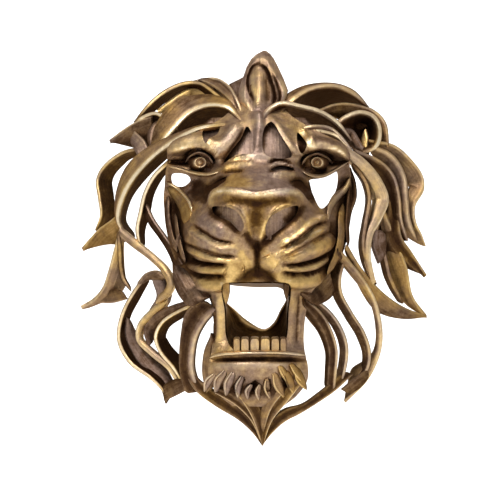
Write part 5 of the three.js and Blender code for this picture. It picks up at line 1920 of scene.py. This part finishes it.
@dataclass(frozen=True)
class Studio:
    """A pale floor and backdrop, soft lamps, and the camera straight in front."""

    distance: float = 4.0
    view_width: float = 0.2551
    middle_x: float = -0.0041
    middle_z: float = -0.08265
    outline_y: float = -0.012
    floor_z: float = -0.42
    wall_y: float = 5.2
    front_y: float = -4.5
    half_width: float = 4.0
    tall: float = 3.2
    curve: float = 0.6

    def build(self) -> None:
        """Makes the stage, the lamps and the camera."""
        self._stage()
        self._lamp("key", (-0.9, -1.5, 1.5), 0.9, 39)
        self._lamp("fill", (1.5, -1.7, 0.5), 1.0, 11)
        self._lamp("top", (0.2, -0.4, 1.9), 0.9, 20)
        self._lamp("front", (-0.2, -2.6, 0.3), 1.0, 6)
        self._lamp("wash", (0.0, 2.4, 2.6), 1.6, 190, (0.0, self.wall_y, 0.2))
        self._world()
        self._camera()

    def _stage(self) -> None:
        """One sheet that runs along the floor and curves up into the backdrop."""
        pale = bpy.data.materials.new("pale_stage")
        pale.use_nodes = True
        shader = pale.node_tree.nodes["Principled BSDF"]
        shader.inputs["Base Color"].default_value = (0.86, 0.86, 0.86, 1)
        shader.inputs["Roughness"].default_value = 0.9
        angle = np.linspace(0, np.pi / 2, 24)
        y = self.wall_y - self.curve + self.curve * np.sin(angle)
        y = np.concatenate([[self.front_y], y, [self.wall_y]])
        z = self.curve - self.curve * np.cos(angle)
        z = np.concatenate([[0], z, [self.tall]]) + self.floor_z
        sides = [np.stack([np.full(len(y), x), y, z], axis=1) for x in (-self.half_width, self.half_width)]
        points = np.concatenate(sides)
        n = len(y)
        i = np.arange(n - 1)
        quads = np.stack([i, i + n, i + n + 1, i + 1], axis=1)
        mesh = bpy.data.meshes.new("stage")
        mesh.from_pydata(points.tolist(), [], quads.tolist())
        mesh.polygons.foreach_set("use_smooth", np.ones(len(mesh.polygons), bool))
        mesh.materials.append(pale)
        stage = bpy.data.objects.new("stage", mesh)
        bpy.context.scene.collection.objects.link(stage)

    def _lamp(self, name: str, place: Place, size: float, power: float, aim: Place | None = None) -> None:
        """One soft square lamp.

        Args:
            name: its name.
            place: where it stands.
            size: the length of its sides.
            power: its power.
            aim: where it points, the middle of the mask if left out.
        """
        data = bpy.data.lights.new(name, "AREA")
        data.size, data.energy = size, power
        lamp = bpy.data.objects.new(name, data)
        lamp.location = place
        toward = Vector(aim or (self.middle_x, -0.05, self.middle_z)) - Vector(place)
        lamp.rotation_euler = toward.to_track_quat("-Z", "Y").to_euler()
        bpy.context.scene.collection.objects.link(lamp)

    def _world(self) -> None:
        """A pale surround that fills the shadows."""
        world = bpy.data.worlds.new("surround")
        world.use_nodes = True
        background = world.node_tree.nodes["Background"]
        background.inputs["Color"].default_value = (1, 0.99, 0.97, 1)
        background.inputs["Strength"].default_value = 0.56
        bpy.context.scene.world = world
        bpy.context.scene.view_settings.view_transform = "Standard"

    def _camera(self) -> None:
        """A long lens on the level of the picture's middle, looking straight at the wall."""
        data = bpy.data.cameras.new("camera")
        data.sensor_width = 36
        data.lens = data.sensor_width * (self.distance + self.outline_y) / self.view_width
        data.clip_start, data.clip_end = 0.1, 30
        camera = bpy.data.objects.new("camera", data)
        camera.location = (self.middle_x, -self.distance, self.middle_z)
        camera.rotation_euler = (math.pi / 2, 0, 0)
        bpy.context.scene.collection.objects.link(camera)
        bpy.context.scene.camera = camera


def skins_of(parts: Sequence[Lock] | Sequence[Roll]) -> list[Skin]:
    """The skins of locks or rolls, each told its number."""
    return [part.skin(i) for i, part in enumerate(parts)]


def main() -> None:
    """Builds the stage and every piece of the casting."""
    logging.basicConfig(level=logging.INFO, format="%(message)s")
    Studio().build()
    casting = Casting()
    casting.add("mask_face", [FaceSheet().skin(), ShadedWallSheet().skin()])
    eyes_and_teeth = [part.skin() for part in (Eye(201), Eye(316), *LOWER_TEETH, *FANGS)]
    tufts = tuple(roll for leaf in TUFT_LEAVES for roll in tuft(*leaf))
    casting.add("mask_features", eyes_and_teeth + skins_of(FEATURES + tufts) + [Throat().skin()])
    casting.add("mask_crest_and_boss", [Bud().skin(), HangingBoss().skin()])
    casting.add("mask_mane_left", skins_of(LEFT_MANE))
    casting.add("mask_mane_right", skins_of(RIGHT_MANE))
    casting.add("mask_beard", skins_of(BEARD))


if __name__ == "__main__":
    main()
